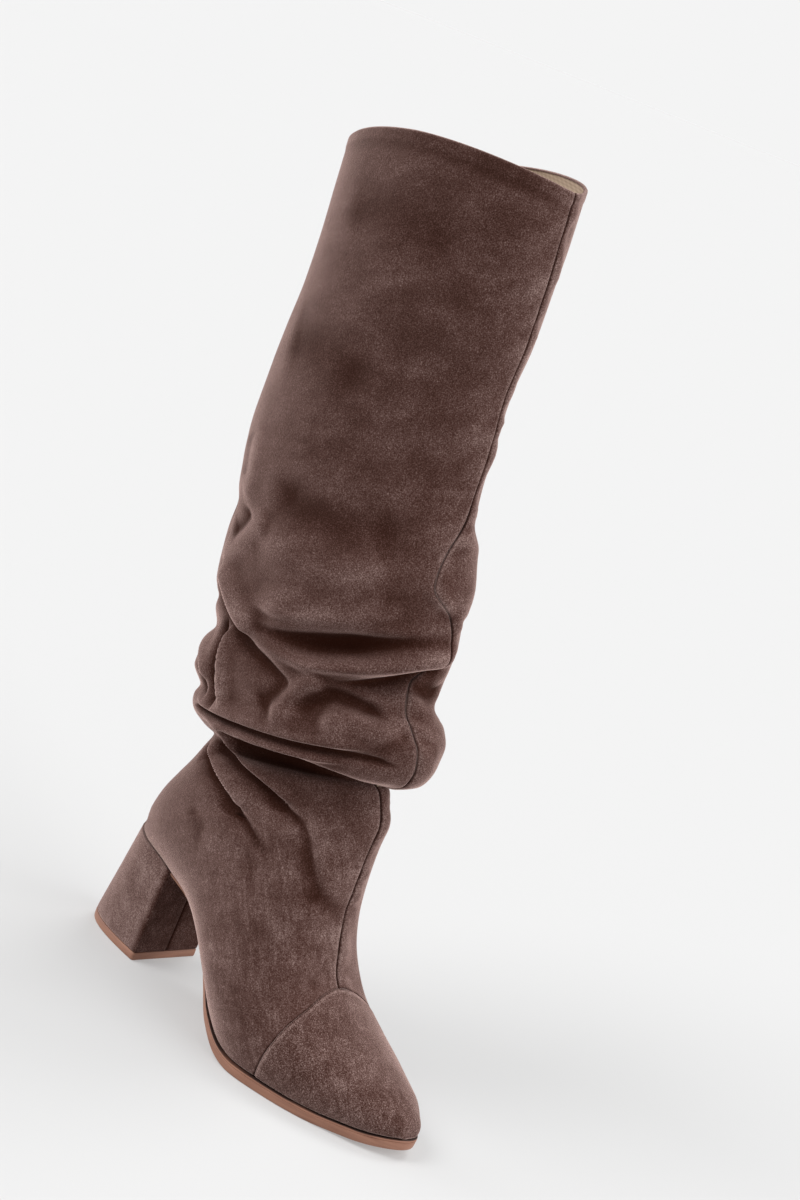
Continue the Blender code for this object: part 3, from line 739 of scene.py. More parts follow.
@dataclass(frozen=True)
class SoleRubber:
    """Moulded tan rubber with a leather-like edge: matt, with faint streaks along the edge.

    Its mark is a painted shadow: a dark line along the top of its edge, where the sole meets the suede.
    """

    name: str = "tan_sole_rubber"
    # The first colour is the painted shadow along the joint with the suede.
    shaded_joint: str = "33201a"
    dark: str = "7a5140"
    light: str = "a87a64"
    streak_mm: float = 3.0
    streak_squeeze: float = 0.12
    grain_mm: float = 0.5
    streak_tone: float = 0.8
    grain_tone: float = 0.2
    joint_shade_tone: float = -0.6
    base_tone: float = 0.1

    def build(self) -> Material:
        """Makes the material.

        Returns:
            The finished material.
        """
        material, tree = new_material(self.name)
        place = add_node(tree, "ShaderNodeTexCoord").outputs["Object"]
        squeeze = (self.streak_squeeze, self.streak_squeeze, 1.0)
        drawn_out = add_node(tree, "ShaderNodeMapping", {"Scale": squeeze}, {"Vector": place}).outputs[0]
        streak = add_node(tree, "ShaderNodeTexNoise", {"Scale": per_mm(self.streak_mm), "Detail": 5.0},
                          {"Vector": drawn_out}).outputs["Fac"]
        grain = add_node(tree, "ShaderNodeTexNoise", {"Scale": per_mm(self.grain_mm), "Detail": 2.0},
                         {"Vector": place}).outputs["Fac"]
        # A painted shadow along the top of the edge, where the sole meets the suede.
        joint_shade = add_node(tree, "ShaderNodeAttribute", {"attribute_name": "joint_shade"}).outputs["Fac"]
        tones = ((streak, self.streak_tone), (grain, self.grain_tone), (joint_shade, self.joint_shade_tone))
        stops = ((0.0, srgb(self.shaded_joint)), (0.35, srgb(self.dark)), (0.85, srgb(self.light)))
        tone = weigh(tree, tones, self.base_tone)
        colour = add_node(tree, "ShaderNodeValToRGB", {"stops": stops}, {"Fac": tone}).outputs["Color"]
        bump = add_node(tree, "ShaderNodeBump", {"Strength": 0.2, "Distance": 0.2 * MM}, {"Height": grain})
        shader = add_node(tree, "ShaderNodeBsdfPrincipled", {"Roughness": 0.55, "Specular IOR Level": 0.4},
                          {"Base Color": colour, "Normal": bump.outputs[0]})
        add_node(tree, "ShaderNodeOutputMaterial", {}, {"Surface": shader.outputs["BSDF"]})
        return material


@dataclass(frozen=True)
class Lining:
    """Woven polyester lining: beige and dull, with a fine slanted weave."""

    name: str = "beige_lining"
    dark: str = "8d7763"
    light: str = "b39c86"
    # Real threads are about 0.3 mm; they are drawn coarser, so that they show.
    thread_mm: float = 1.5
    cloud_mm: float = 18.0
    thread_tone: float = 0.3
    cloud_tone: float = 0.5

    def build(self) -> Material:
        """Makes the material.

        Returns:
            The finished material.
        """
        material, tree = new_material(self.name)
        place = add_node(tree, "ShaderNodeTexCoord").outputs["Object"]
        scale = per_mm(self.thread_mm) * math.pi / 10
        weft, warp = (add_node(tree, "ShaderNodeTexWave", {"Scale": scale, "bands_direction": way,
                      "Distortion": 0.4, "Detail": 1.0}, {"Vector": place}).outputs["Fac"]
                      for way in ("Z", "DIAGONAL"))
        cloud = add_node(tree, "ShaderNodeTexNoise", {"Scale": per_mm(self.cloud_mm), "Detail": 3.0},
                         {"Vector": place}).outputs["Fac"]
        tones = ((weft, self.thread_tone), (warp, self.thread_tone), (cloud, self.cloud_tone))
        stops = ((0.1, srgb(self.dark)), (0.9, srgb(self.light)))
        tone = weigh(tree, tones, 0.0)
        colour = add_node(tree, "ShaderNodeValToRGB", {"stops": stops}, {"Fac": tone}).outputs["Color"]
        bump = add_node(tree, "ShaderNodeBump", {"Strength": 0.3, "Distance": 0.2 * MM}, {"Height": weft})
        shader = add_node(tree, "ShaderNodeBsdfPrincipled", {"Roughness": 0.85},
                          {"Base Color": colour, "Normal": bump.outputs[0]})
        add_node(tree, "ShaderNodeOutputMaterial", {}, {"Surface": shader.outputs["BSDF"]})
        return material


def surface_normals(points: Array) -> Array:
    """Unit normals of a grid of points, from its rows and columns.

    Args:
        points: The grid, mm.

    Returns:
        A unit vector for each point.
    """
    normal = np.cross(np.gradient(points, axis=1), np.gradient(points, axis=0))
    size = np.linalg.norm(normal, axis=-1, keepdims=True)
    return normal / np.maximum(size, 1e-9)


def relief(points: Array, passes: int = 14) -> Array:
    """How far each point of a grid stands over the surface round it, mm.

    Args:
        points: The grid, mm.
        passes: Number of times that the surface round it is smoothed.

    Returns:
        Its height, under 0 in a hollow.
    """
    level = points
    for _ in range(passes):
        wide = np.pad(level, ((1, 1), (1, 1), (0, 0)), mode="edge")
        level = (wide[2:, 1:-1] + wide[:-2, 1:-1] + wide[1:-1, 2:] + wide[1:-1, :-2]) / 4
    return ((points - level) * surface_normals(points)).sum(-1)


def run_length(points: Array, axis: int) -> Array:
    """Distance along the grid's rows (axis 0) or columns (axis 1), from the first point, mm.

    Args:
        points: The grid, mm.
        axis: 0 to go from row to row, 1 to go from column to column.

    Returns:
        The distance at each point.
    """
    step = np.linalg.norm(np.diff(points, axis=axis), axis=-1)
    pad = [(1, 0) if k == axis else (0, 0) for k in (0, 1)]
    return np.cumsum(np.pad(step, pad), axis=axis)


def grid_piece(name: str, sheet: Sheet, closed: bool = False) -> Object:
    """A mesh through a grid of points.

    Args:
        name: The piece's name.
        sheet: Its points in the boot's frame, with any marks and wall shares.
        closed: Whether the last column is the first one again; the open ends are then filled.

    Returns:
        The new object, linked to the scene.
    """
    rows, columns = sheet.points.shape[:2]
    bm = bmesh.new()
    bmesh.ops.create_grid(bm, x_segments=columns - 1, y_segments=rows - 1, size=1)
    marks = [(bm.verts.layers.float.new(key), grid.reshape(-1)) for key, grid in (sheet.marks or {}).items()]
    places = sheet.points.reshape(-1, 3) * MM
    for i, vert in enumerate(bm.verts):
        vert.co = places[i]
        for layer, values in marks:
            vert[layer] = values[i]
    if closed:
        bmesh.ops.remove_doubles(bm, verts=bm.verts, dist=0.01 * MM)
        rims = [edge for edge in bm.edges if edge.is_boundary]
        filled = bmesh.ops.holes_fill(bm, edges=rims, sides=0)["faces"]
        bmesh.ops.poke(bm, faces=filled)
        bmesh.ops.recalc_face_normals(bm, faces=bm.faces)
    mesh = bpy.data.meshes.new(name)
    bm.to_mesh(mesh)
    bm.free()
    mesh.shade_smooth()
    piece = bpy.data.objects.new(name, mesh)
    bpy.context.scene.collection.objects.link(piece)
    if sheet.wall is not None:
        group = piece.vertex_groups.new(name="wall")
        for i, share in enumerate(sheet.wall.reshape(-1)):
            group.add([i], float(share), "REPLACE")
    return piece


def finish_piece(piece: Object, nodes: Sequence[str],
                 materials: Sequence[Material], sharp: float | None = None) -> None:
    """Covers a piece, puts it on the boot's one body and hides the solids that it replaces.

    Args:
        piece: The new object.
        nodes: Solids that it replaces.
        materials: Its materials, the outer one first.
        sharp: Angle in degrees over which its edges look sharp, or None where all are smooth.
    """
    for material in materials:
        piece.data.materials.append(material)
    if sharp is not None:
        piece.data.set_sharp_from_angle(angle=math.radians(sharp))
    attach(piece, "root")
    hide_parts(*nodes)
    LOG.info("%s: %d faces", piece.name, len(piece.data.polygons))


@dataclass
class Upper:
    """The suede upper: toe cap, outer panel and inner panel, lined, with turned seams and collar.

    At the front seam the outer panel has a rolled edge, and the inner one puffs out and puckers more. At
    the back seam it is the other way round, with no puckers.
    """

    last: Last
    folds: FoldField
    # The grid: how far apart its rows are, and how they crowd at the edges.
    fine_rows: int = 1600
    row_paths: tuple[float, ...] = (-0.999, -0.5, -0.001, 0.5, 0.999)
    fold_row_mm: float = 1.35
    plain_row_mm: float = 4.5
    edge_row_mm: float = 0.35
    edge_row_growth: float = 0.16
    panel_columns: int = 170
    cap_columns: int = 150
    cap_rows: int = 90
    edge_crowding: float = 0.72
    cap_crowding: float = 0.6
    # Seams and puckers, mm.
    seam_depth: float = 0.9
    seam_line: float = 0.4
    seam_roll: float = 0.5
    roll_mm: float = 1.3
    puff: float = 1.3
    puff_mm: float = 3.2
    pucker: float = 0.75
    outer_pucker: float = 0.2625
    pucker_place: float = 5.0
    pucker_width: float = 4.5
    pucker_waves: tuple[float, float, float] = (3.3, 9.0, 7.1)
    pucker_sway: float = 1.7
    pucker_second: float = 0.6
    # Turned edges, hem and collar, mm.
    still_mm: float = 8.0
    tuck: float = 0.7
    tuck_width: float = 0.7
    hem_mm: float = 7.0
    hem_rise: float = 0.35
    hem_step: float = 2.0
    collar_rounding: float = 0.9
    collar_width: float = 0.5
    # The toe cap; its bow is in rows of the section table.
    cap_raise: float = 0.4
    cap_raise_mm: float = 3.0
    cap_tip_mm: float = 3.0
    cap_tip_rows: float = 2.5
    cap_bow: tuple[float, ...] = (0.0, -0.28, -0.37, -0.15, -0.3, -0.28, 0.0)
    cap_bow_at: tuple[float, ...] = (-1.0, -0.65, -0.35, 0.0, 0.3, 0.65, 1.0)
    cap_bow_end: float = 3.0
    # Shares taken off the wall beside the sole and the seams.
    sole_thinning: float = 0.8
    sole_thinning_mm: float = 2.0
    seam_thinning: float = 0.6
    seam_thinning_mm: float = 1.2
    least_wall: float = 0.05
    # Marks for the suede: the fold and relief tones paint shade into creases and hollows and light,
    # part wear, onto fold tops; the front and back bands are painted light by the seams, where the leg
    # turns away; the dark lines are painted shade in the seams, below the hem and along the sole; the
    # light lines are painted highlights on the raised edges. Pairs are for the foot and for the shaft.
    fold_tone_mm: float = 5.0
    relief_tone_mm: float = 0.8
    light_tone: float = 0.4
    shaft_rows: float = 5.0
    foot_rows: float = 16.0
    front_painted_light: tuple[float, float] = (0.5, 0.85)
    front_painted_light_mm: tuple[float, float] = (14.0, 20.0)
    back_painted_light: tuple[float, float] = (0.6, 0.8)
    back_painted_light_mm: float = 18.0
    panel_dark: tuple[Line, ...] = (Line("front", 1.0, 0.0, 0.52), Line("back", 1.0, 0.0, 0.64),
                                    Line("cap", 0.8, 0.0, 0.56), Line("collar", 0.3, 9.0, 2.0),
                                    Line("collar", 0.12, 0.0, 9.0))
    panel_light: tuple[Line, ...] = (Line("front", 1.0, 1.4, 0.9), Line("collar", 1.0, 0.8, 1.2))
    cap_dark: tuple[Line, ...] = (Line("cap", 0.8, 0.0, 0.56), Line("sole", 1.0, 0.0, 0.8))
    cap_light: tuple[Line, ...] = (Line("cap", 1.0, 1.4, 0.9),)

    def rows(self) -> Array:
        """Row numbers from the cap seam to the collar: close together in the folds and at both ends.

        Returns:
            The rows of a panel.
        """
        fine = np.linspace(self.last.row("cap seam"), self.last.row("collar"), self.fine_rows)
        paths = [run_length(self.last.point(fine, np.full_like(fine, u))[:, None], 0)[:, 0]
                 for u in self.row_paths]
        speed = np.max([np.gradient(path) for path in paths], axis=0)
        length = np.concatenate([[0], np.cumsum((speed[1:] + speed[:-1]) / 2)])
        lowest, highest = self.last.row("counter 2"), self.last.row("shaft 3")
        folded = soft_step((fine - lowest) / 2 + 0.5) * soft_step((highest - fine) / 2 + 0.5)
        from_end = np.minimum(length, length[-1] - length)
        spacing = blend((self.plain_row_mm, self.fold_row_mm), folded)
        spacing = np.minimum(spacing, self.edge_row_mm + self.edge_row_growth * from_end)
        count = np.concatenate([[0], np.cumsum(np.diff(length) / ((spacing[1:] + spacing[:-1]) / 2))])
        return np.interp(np.linspace(0, count[-1], int(count[-1]) + 1), count, fine)

    def shares(self, count: int) -> Array:
        """Places across a panel from 0 to 1, closer together at both edges."""
        v = np.linspace(0, 1, count + 1)
        return v - self.edge_crowding * np.sin(2 * math.pi * v) / (2 * math.pi)

    def cap_places(self) -> Array:
        """Places across the cap from -1 to 1, closer together at the sole on both sides."""
        v = np.linspace(-1, 1, self.cap_columns + 1)
        return v + self.cap_crowding * np.sin(math.pi * v) / math.pi

    def bowed(self, t: Array, u: Array) -> Array:
        """Row numbers moved so that the cap's seam bows towards the toe at its sides.

        Args:
            t: Row numbers.
            u: Places round the section.

        Returns:
            The moved row numbers.
        """
        bow = smooth_curve(self.cap_bow_at, self.cap_bow, u)
        cap = self.last.row("cap seam")
        after = soft_step((cap + self.cap_bow_end - t) / self.cap_bow_end)
        return t + bow * np.where(t < cap, soft_step(t / cap), after)

    def panel_grid(self, side: Side) -> tuple[Array, Array]:
        """Row numbers, and places round the section, of a panel's points.

        Args:
            side: Side of the panel.

        Returns:
            A grid of each.
        """
        t = self.rows()
        wander = [self.last.row(name) for name in SEAM_WANDER]
        seam = smooth_curve(wander, list(SEAM_WANDER.values()), t)[:, None]
        u = seam + (side - seam) * self.shares(self.panel_columns)[None]
        return np.broadcast_to(t[:, None], u.shape), u if side == Side.INNER else u[:, ::-1]

    def panel_edges(self, side: Side, t: Array, plain: Array) -> PanelEdges:
        """Where a panel's points lie from its edges.

        Args:
            side: Side of the panel.
            t: Row numbers of its points.
            plain: The points before any fold or seam, mm.

        Returns:
            The distances and shares.
        """
        across, up = run_length(plain, 1), run_length(plain, 0)
        ends = (across, across[:, -1:] - across)
        front, back = ends if side == Side.INNER else ends[::-1]
        collar = up[-1:] - up
        on_sole = soft_step(self.last.row("seat back") + 0.5 - t)
        free = soft_step(up / self.still_mm) * soft_step(collar / self.still_mm)
        return PanelEdges(front, back, up, collar, on_sole, free)

    def seam_profile(self, away: Array, rolled: bool) -> Array:
        """Height beside a closed seam: a narrow rolled edge, or a wide puffed one, over a groove.

        Args:
            away: Distance from the seam, mm.
            rolled: Whether this edge is the rolled one.

        Returns:
            The height, mm.
        """
        rise, width = (self.seam_roll, self.roll_mm) if rolled else (self.puff, self.puff_mm)
        share = away / width
        return rise * share * np.exp(1 - share) - self.seam_depth * bell(away, self.seam_line)

    def pucker_wave(self, along: Array) -> Array:
        """Uneven wave of the puckers, from the distance along the seam."""
        first, sway, second = (along / wave for wave in self.pucker_waves)
        return np.sin(first + self.pucker_sway * np.sin(sway)) + self.pucker_second * np.sin(second)

    def details(self, side: Side, edges: PanelEdges) -> Array:
        """Height of a panel's seams, puckers, hem and turned edges over its plain form, mm.

        Args:
            side: Side of the panel.
            edges: Where the points lie from its edges.

        Returns:
            The height of each point.
        """
        pucker = self.pucker if side == Side.INNER else self.outer_pucker
        pucker = pucker * self.pucker_wave(edges.cap) * edges.free
        height = self.seam_profile(edges.front, side == Side.OUTER)
        height = height + pucker * bell(edges.front - self.pucker_place, self.pucker_width)
        height = height + self.seam_profile(edges.back, side == Side.INNER) * (1 - edges.on_sole)
        height = height - self.tuck * bell(edges.back, self.tuck_width) * edges.on_sole
        height = height - self.tuck * bell(edges.cap, self.seam_line)
        height = height + self.hem_rise * soft_step((self.hem_mm - edges.collar) / self.hem_step)
        return height - self.collar_rounding * bell(edges.collar, self.collar_width)

    def ridge(self, t: Array, edges: PanelEdges, fold: Array, stands: Array) -> Array:
        """How light or dark a panel is painted: painted light over 0 (partly wear) on fold tops and edges,
        painted shade under 0 in a crease.

        Args:
            t: Row numbers of its points.
            edges: Where the points lie from its edges.
            fold: Height that the folds give them, mm.
            stands: How far they stand over the surface round them, mm.

        Returns:
            The mark of each point.
        """
        shaft = soft_step((t - self.last.row("fold top")) / self.shaft_rows)
        # Painted highlight: a pale band beside the front and back seams, where the leg turns away.
        tone_lift = blend(self.front_painted_light, shaft) * bell(edges.front, blend(self.front_painted_light_mm, shaft))
        back_painted_light = blend(self.back_painted_light, shaft) * (1 - edges.on_sole)
        tone_lift = tone_lift + back_painted_light * bell(edges.back, self.back_painted_light_mm)
        # Painted shade in the troughs and hollows of the folds, and painted light, partly wear, on their
        # tops.
        raised = np.clip(fold / self.fold_tone_mm, -2, 0.5)
        raised = raised + np.clip(stands / self.relief_tone_mm, -1, 0.25) * edges.free
        # The light lines are painted highlights on the raised edges by the front seam and the collar.
        return raised + tone_lift + self.light_tone * drawn(edges, self.panel_light)

    def panel_wall(self, edges: PanelEdges) -> Array:
        """Share of the full wall: less at the seams, and along the sole.

        Args:
            edges: Where the points lie from its edges.

        Returns:
            The share at each point.
        """
        wall = 1 - self.sole_thinning * edges.on_sole * bell(edges.back, self.sole_thinning_mm)
        wall = wall - self.seam_thinning * bell(edges.front, self.seam_thinning_mm)
        return wall - self.seam_thinning * (1 - edges.on_sole) * bell(edges.back, self.seam_thinning_mm)

    def panel(self, side: Side) -> Sheet:
        """One of the two panels, from the cap seam to the collar.

        Args:
            side: Side of the panel.

        Returns:
            Its points, marks and wall.
        """
        t, u = self.panel_grid(side)
        plain = self.last.point(self.bowed(t, u), u)
        edges = self.panel_edges(side, t, plain)
        fold, slide = self.folds.shift(plain)
        height = fold * edges.free + self.details(side, edges)
        points = plain + surface_normals(plain) * height[..., None] + slide * edges.free[..., None]
        ridge = self.ridge(t, edges, fold, relief(points) - relief(plain))
        # Painted shade in the seams, below the hem and along the sole.
        marks = {"ridge": ridge, "seam": np.clip(drawn(edges, self.panel_dark), 0, 1),
                 "foot": soft_step((self.last.row("ankle gap") - t) / self.foot_rows)}
        return Sheet(points + self.last.shift, marks, self.panel_wall(edges))

    def cap(self) -> Sheet:
        """The toe cap; its first row closes the tip down to the sole.

        Returns:
            Its points, marks and wall.
        """
        u = np.broadcast_to(self.cap_places()[None], (self.cap_rows + 1, self.cap_columns + 1))
        t = np.broadcast_to(self.last.row("cap seam") * self.shares(self.cap_rows)[:, None], u.shape)
        plain = self.last.point(self.bowed(t, u), u)
        up, across = run_length(plain, 0), run_length(plain, 1)
        sole = np.minimum(across, across[:, -1:] - across) + self.cap_tip_mm * soft_step(1 - t)
        edges = CapEdges(up[-1:] - up, sole)
        height = self.cap_raise * soft_step(edges.cap / self.cap_raise_mm)
        height = height - self.tuck * (bell(edges.cap, self.seam_line) + bell(edges.sole, self.tuck_width))
        lift = surface_normals(plain) * height[..., None]
        lift[..., 2] = np.maximum(lift[..., 2], 0)
        points = plain + lift
        tip = points[:1].copy()
        tip[..., 2] = self.last.feather(tip[..., 0]) + self.last.gap
        thinned = 1 - self.sole_thinning * bell(edges.sole, self.sole_thinning_mm)
        wall = np.clip(soft_step(t / self.cap_tip_rows) * thinned + self.least_wall, 0, 1)
        # A painted highlight beside the cap's seam, and painted shade in the seam and along the sole.
        marks = {"ridge": drawn(edges, self.cap_light), "seam": np.clip(drawn(edges, self.cap_dark), 0, 1),
                 "foot": np.ones(t.shape)}
        marks = {key: np.concatenate([grid[:1], grid]) for key, grid in marks.items()}
        points = np.concatenate([tip, points]) + self.last.shift
        return Sheet(points, marks, np.concatenate([wall[:1], wall]))

    def thicken(self, piece: Object) -> None:
        """Gives a panel its wall, with the second material inside.

        Args:
            piece: The panel or the toe cap.
        """
        wall = piece.modifiers.new("wall", "SOLIDIFY")
        wall.thickness = self.last.wall * MM
        wall.offset = -1
        wall.material_offset = 1
        wall.material_offset_rim = 0
        wall.vertex_group = "wall"

    def build(self, suede: Material, cap_suede: Material, lining: Material) -> None:
        """Makes the three pieces of the upper.

        Args:
            suede: Suede of the panels.
            cap_suede: Suede of the toe cap.
            lining: Lining of all three.
        """
        sheets = (("outer_panel", self.panel(Side.OUTER), suede),
                  ("inner_panel", self.panel(Side.INNER), suede), ("toe_cap", self.cap(), cap_suede))
        for name, sheet, outside in sheets:
            piece = grid_piece(name, sheet)
            self.thicken(piece)
            finish_piece(piece, ("upper",), (outside, lining))


@dataclass
class Bottom:
    """Outsole, covered heel, top piece and insole."""

    last: Last
    # Outsole and footbed, mm.
    stations: int = 150
    sole_edge: float = 6.0
    waist_edge: float = 2.0
    waist_tuck: float = 2.2
    tuck_end: float = 125.0
    sole_full: float = 140.0
    insole_thick: float = 2.2
    insole_air: float = 0.8
    rounded_back: float = 10.0
    joint_shade_depth: float = 0.2
    # The heel's outline: its back and breast along x, and its half width, mm.
    heel_inset: float = 0.8
    top_piece: float = 4.6
    heel_back: float = -10.0
    heel_breast: float = 44.0
    heel_half: float = 23.5
    heel_taper: float = 0.07
    heel_squareness: float = 2.8
    heel_points: int = 46
    heel_crowding: float = 1.6
    corner_share: float = 0.035
    corner_mm: float = 1.3
    breast_top: float = 47.0
    breast_points: tuple[float, ...] = (0.98, 0.8, 0.5, 0.2, 0.06, 0.03)
    # The heel's cover: levels from the floor (0) to the seat (1), its turned foot, and its seam, mm.
    breast_shade: float = -1.05
    breast_start: float = 0.9
    breast_fade: float = 0.08
    heel_rounding: float = 0.5
    heel_rounding_share: float = 0.006
    foot_levels: tuple[float, ...] = (0.0, 0.004, 0.012, 0.03)
    cover_levels: int = 22
    cover_start: float = 0.06
    groove_width: float = 0.7
    groove_depth: float = 0.8

    def edge(self, x: Array) -> Array:
        """Thickness of the outsole at x."""
        share = soft_step((x - self.breast_top) / (self.sole_full - self.breast_top))
        return blend((self.waist_edge, self.sole_edge), share)

    def tuck(self, x: Array) -> Array:
        """How far the outsole is drawn in under the waist at x."""
        return self.waist_tuck * soft_step((self.tuck_end - x) / (self.tuck_end - self.breast_top))

    def ring(self, side: Sequence[tuple[float, ...]], top_inset: float, under_inset: float,
             under_points: int) -> list[RingPoint]:
        """A plate's whole cut: its top, one side, its underside and the other side.

        Args:
            side: The side's points from the top down, as rows of inset, down and extra.
            top_inset: How far the top lies in from the plan, mm.
            under_inset: The same for the underside.
            under_points: Number of points across the underside.

        Returns:
            The points in order.
        """
        top = [RingPoint(across, top_inset, 0.0) for across in np.linspace(-1, 1, 5)]
        near = [RingPoint(1.0, *row) for row in side]
        under = [RingPoint(across, under_inset, 1.0) for across in np.linspace(1, -1, under_points)]
        return top + near + under + [point._replace(across=-1.0) for point in reversed(near)]

    def slab(self, name: str, start: float, end: float, ring: Sequence[RingPoint],
             base: float = 0.0) -> Object:
        """A plate that follows the sole plan.

        Args:
            name: The piece's name.
            start: Its back end.
            end: Its front end.
            ring: Its cut, from the top round to the top again.
            base: Height of the footbed's top over the feather plane, or 0 for the outsole.

        Returns:
            The new object.
        """
        share = (1 - np.cos(np.linspace(0, math.pi, self.stations + 1))) / 2
        is_rounded = start <= self.last.seat_back + self.rounded_back
        columns = []
        for across, inset, down, extra in ring:
            back = start + inset * is_rounded
            x = back + share * (end - inset - back)
            thick = self.insole_thick if base else self.edge(x)
            tuck = 0.0 if base else self.tuck(x)
            half = self.last.plan_half(x, inset + (self.last.toe_tip - end) + tuck)
            z = self.last.feather(x) + base - thick * down - extra
            columns.append(np.stack([x, self.last.plan_centre(x) + across * half, z], -1))
        points = np.stack(columns + columns[:1], 1) + self.last.shift
        # The top points carry a painted shadow, where the outsole meets the suede.
        shaded_joint = [float(point.down == 0 and point.extra < self.joint_shade_depth) for point in ring]
        marks = {"joint_shade": np.broadcast_to(np.array(shaded_joint + shaded_joint[:1])[None], points.shape[:2])}
        return grid_piece(name, Sheet(points, marks), closed=True)

    def outsole(self, rubber: Material) -> None:
        """The tan outsole, with a rounded edge and a line scored round its top.

        Args:
            rubber: Its material.
        """
        # The fifth point is the scored line.
        side = ((0.5, 0.0), (0.15, 0.0, 0.15), (0.0, 0.0, 0.5), (0.0, 0.0, 1.0), (0.35, 0.0, 1.25),
                (0.0, 0.0, 1.5), (0.1, 0.5), (0.35, 1.0, -0.8), (0.6, 1.0, -0.25), (1.0, 1.0))
        ring = self.ring(side, top_inset=1.0, under_inset=2.0, under_points=5)
        piece = self.slab("tan_outsole", self.breast_top + self.last.gap, self.last.toe_tip, ring)
        finish_piece(piece, ("outsole",), (rubber,), sharp=35)

    def insole(self, lining: Material) -> None:
        """The footbed, with a soft rounded edge.

        Args:
            lining: Its material.
        """
        inset = self.last.feather_inset + self.last.wall + self.insole_air
        side = ((0.6, 0.0), (0.15, 0.0, 0.25), (0.0, 0.0, 0.8), (0.0, 1.0))
        ring = self.ring(side, top_inset=2.0, under_inset=1.0, under_points=3)
        piece = self.slab("footbed", self.last.seat_back + inset, self.last.toe_tip - inset, ring,
                          self.last.gap + self.insole_thick)
        finish_piece(piece, ("insole",), (lining,))

    def heel_outline(self, level: float, inset: float = 0.0) -> tuple[Array, Array]:
        """Outline of the heel between the floor and the seat.

        Args:
            level: 0 at the floor and 1 at the seat.
            inset: How far it lies in from the heel's own outline at the floor, mm.

        Returns:
            Points in mm round the heel, with the first one again at the end, and the distance of each
            from the middle of the breast.
        """
        s = 1 - (1 - np.linspace(0, 1, self.heel_points)) ** self.heel_crowding
        corner = np.clip((s - 1) / self.corner_share + 1, 0, 1)
        fillet = self.corner_mm * (1 - np.sqrt(1 - corner ** 2))
        floor_x = self.heel_back + inset + s * (self.heel_breast - self.heel_back - 2 * inset)
        half = self.heel_half * (1 - self.heel_taper * (1 - s)) - inset
        half = half * (1 - (1 - s) ** self.heel_squareness) ** (1 / self.heel_squareness) - fillet
        back = self.last.seat_back + self.heel_inset
        seat_x = back + s * (self.breast_top - back)
        seat_half = self.last.plan_half(seat_x, self.heel_inset) - fillet
        x = floor_x + level * (seat_x - floor_x)
        y = half + level * (np.maximum(seat_half, 0) - half)
        y[0] = 0
        z = np.full_like(x, self.top_piece + self.last.gap)
        z = z + level * (self.last.feather(seat_x) - z)
        side = np.stack([x, y, z], 1)
        places = np.array(self.breast_points)
        across = y[-1] * np.concatenate([places, [0.0], -places[::-1]])
        breast = np.stack([np.full_like(across, x[-1]), across, np.full_like(across, z[-1])], 1)
        loop = np.concatenate([side, breast, (side * (1, -1, 1))[::-1]])
        from_middle = np.full(len(loop), self.heel_half)
        from_middle[len(side):len(side) + len(across)] = np.abs(across)
        return loop, from_middle

    def heel(self, suede: Material) -> None:
        """The covered block heel, with the cover's seam down its breast.

        Args:
            suede: Its material.
        """
        rows, seam, front = [], [], []
        for level in (*self.foot_levels, *np.linspace(self.cover_start, 1.0, self.cover_levels)):
            loop, from_middle = self.heel_outline(level)
            rounding = self.heel_rounding * math.exp(-level / self.heel_rounding_share)
            loop[:, :2] += (loop.mean(0)[:2] - loop[:, :2]) * (rounding / self.heel_half)
            groove = bell(from_middle, self.groove_width)
            loop[:, 0] -= self.groove_depth * groove
            rows.append(loop)
            seam.append(groove)
            front.append((loop[:, 0] - loop[:, 0].min()) / np.ptp(loop[:, 0]))
        # Painted shade on the breast, and in the groove of the cover's seam.
        breast = soft_step((np.array(front)[:, ::-1] - self.breast_start) / self.breast_fade)
        marks = {"ridge": self.breast_shade * breast, "seam": np.stack(seam)[:, ::-1]}
        points = np.stack(rows)[:, ::-1] + self.last.shift
        piece = grid_piece("covered_heel", Sheet(points, marks), closed=True)
        finish_piece(piece, ("heel",), (suede,), sharp=50)

    def heel_tip(self, rubber: Material) -> None:
        """The wear piece under the heel, with rounded edges.

        Args:
            rubber: Its material.
        """
        top = self.top_piece
        rows = []
        for z, inset in ((top, 0.8), (top, 0.25), (top - 0.3, 0.0), (1.0, 0.0), (0.3, 0.15), (0.0, 0.6)):
            loop, _ = self.heel_outline(0.0, inset)
            loop[:, 2] = z
            rows.append(loop)
        piece = grid_piece("heel_tip", Sheet(np.stack(rows) + self.last.shift), closed=True)
        finish_piece(piece, ("heel_top_piece",), (rubber,), sharp=40)

    def build(self, rubber: Material, lining: Material, suede: Material) -> None:
        """Makes the four pieces under the upper.

        Args:
            rubber: Rubber of the outsole and the heel tip.
            lining: Cover of the footbed.
            suede: Suede of the heel.
        """
        self.outsole(rubber)
        self.insole(lining)
        self.heel(suede)
        self.heel_tip(rubber)


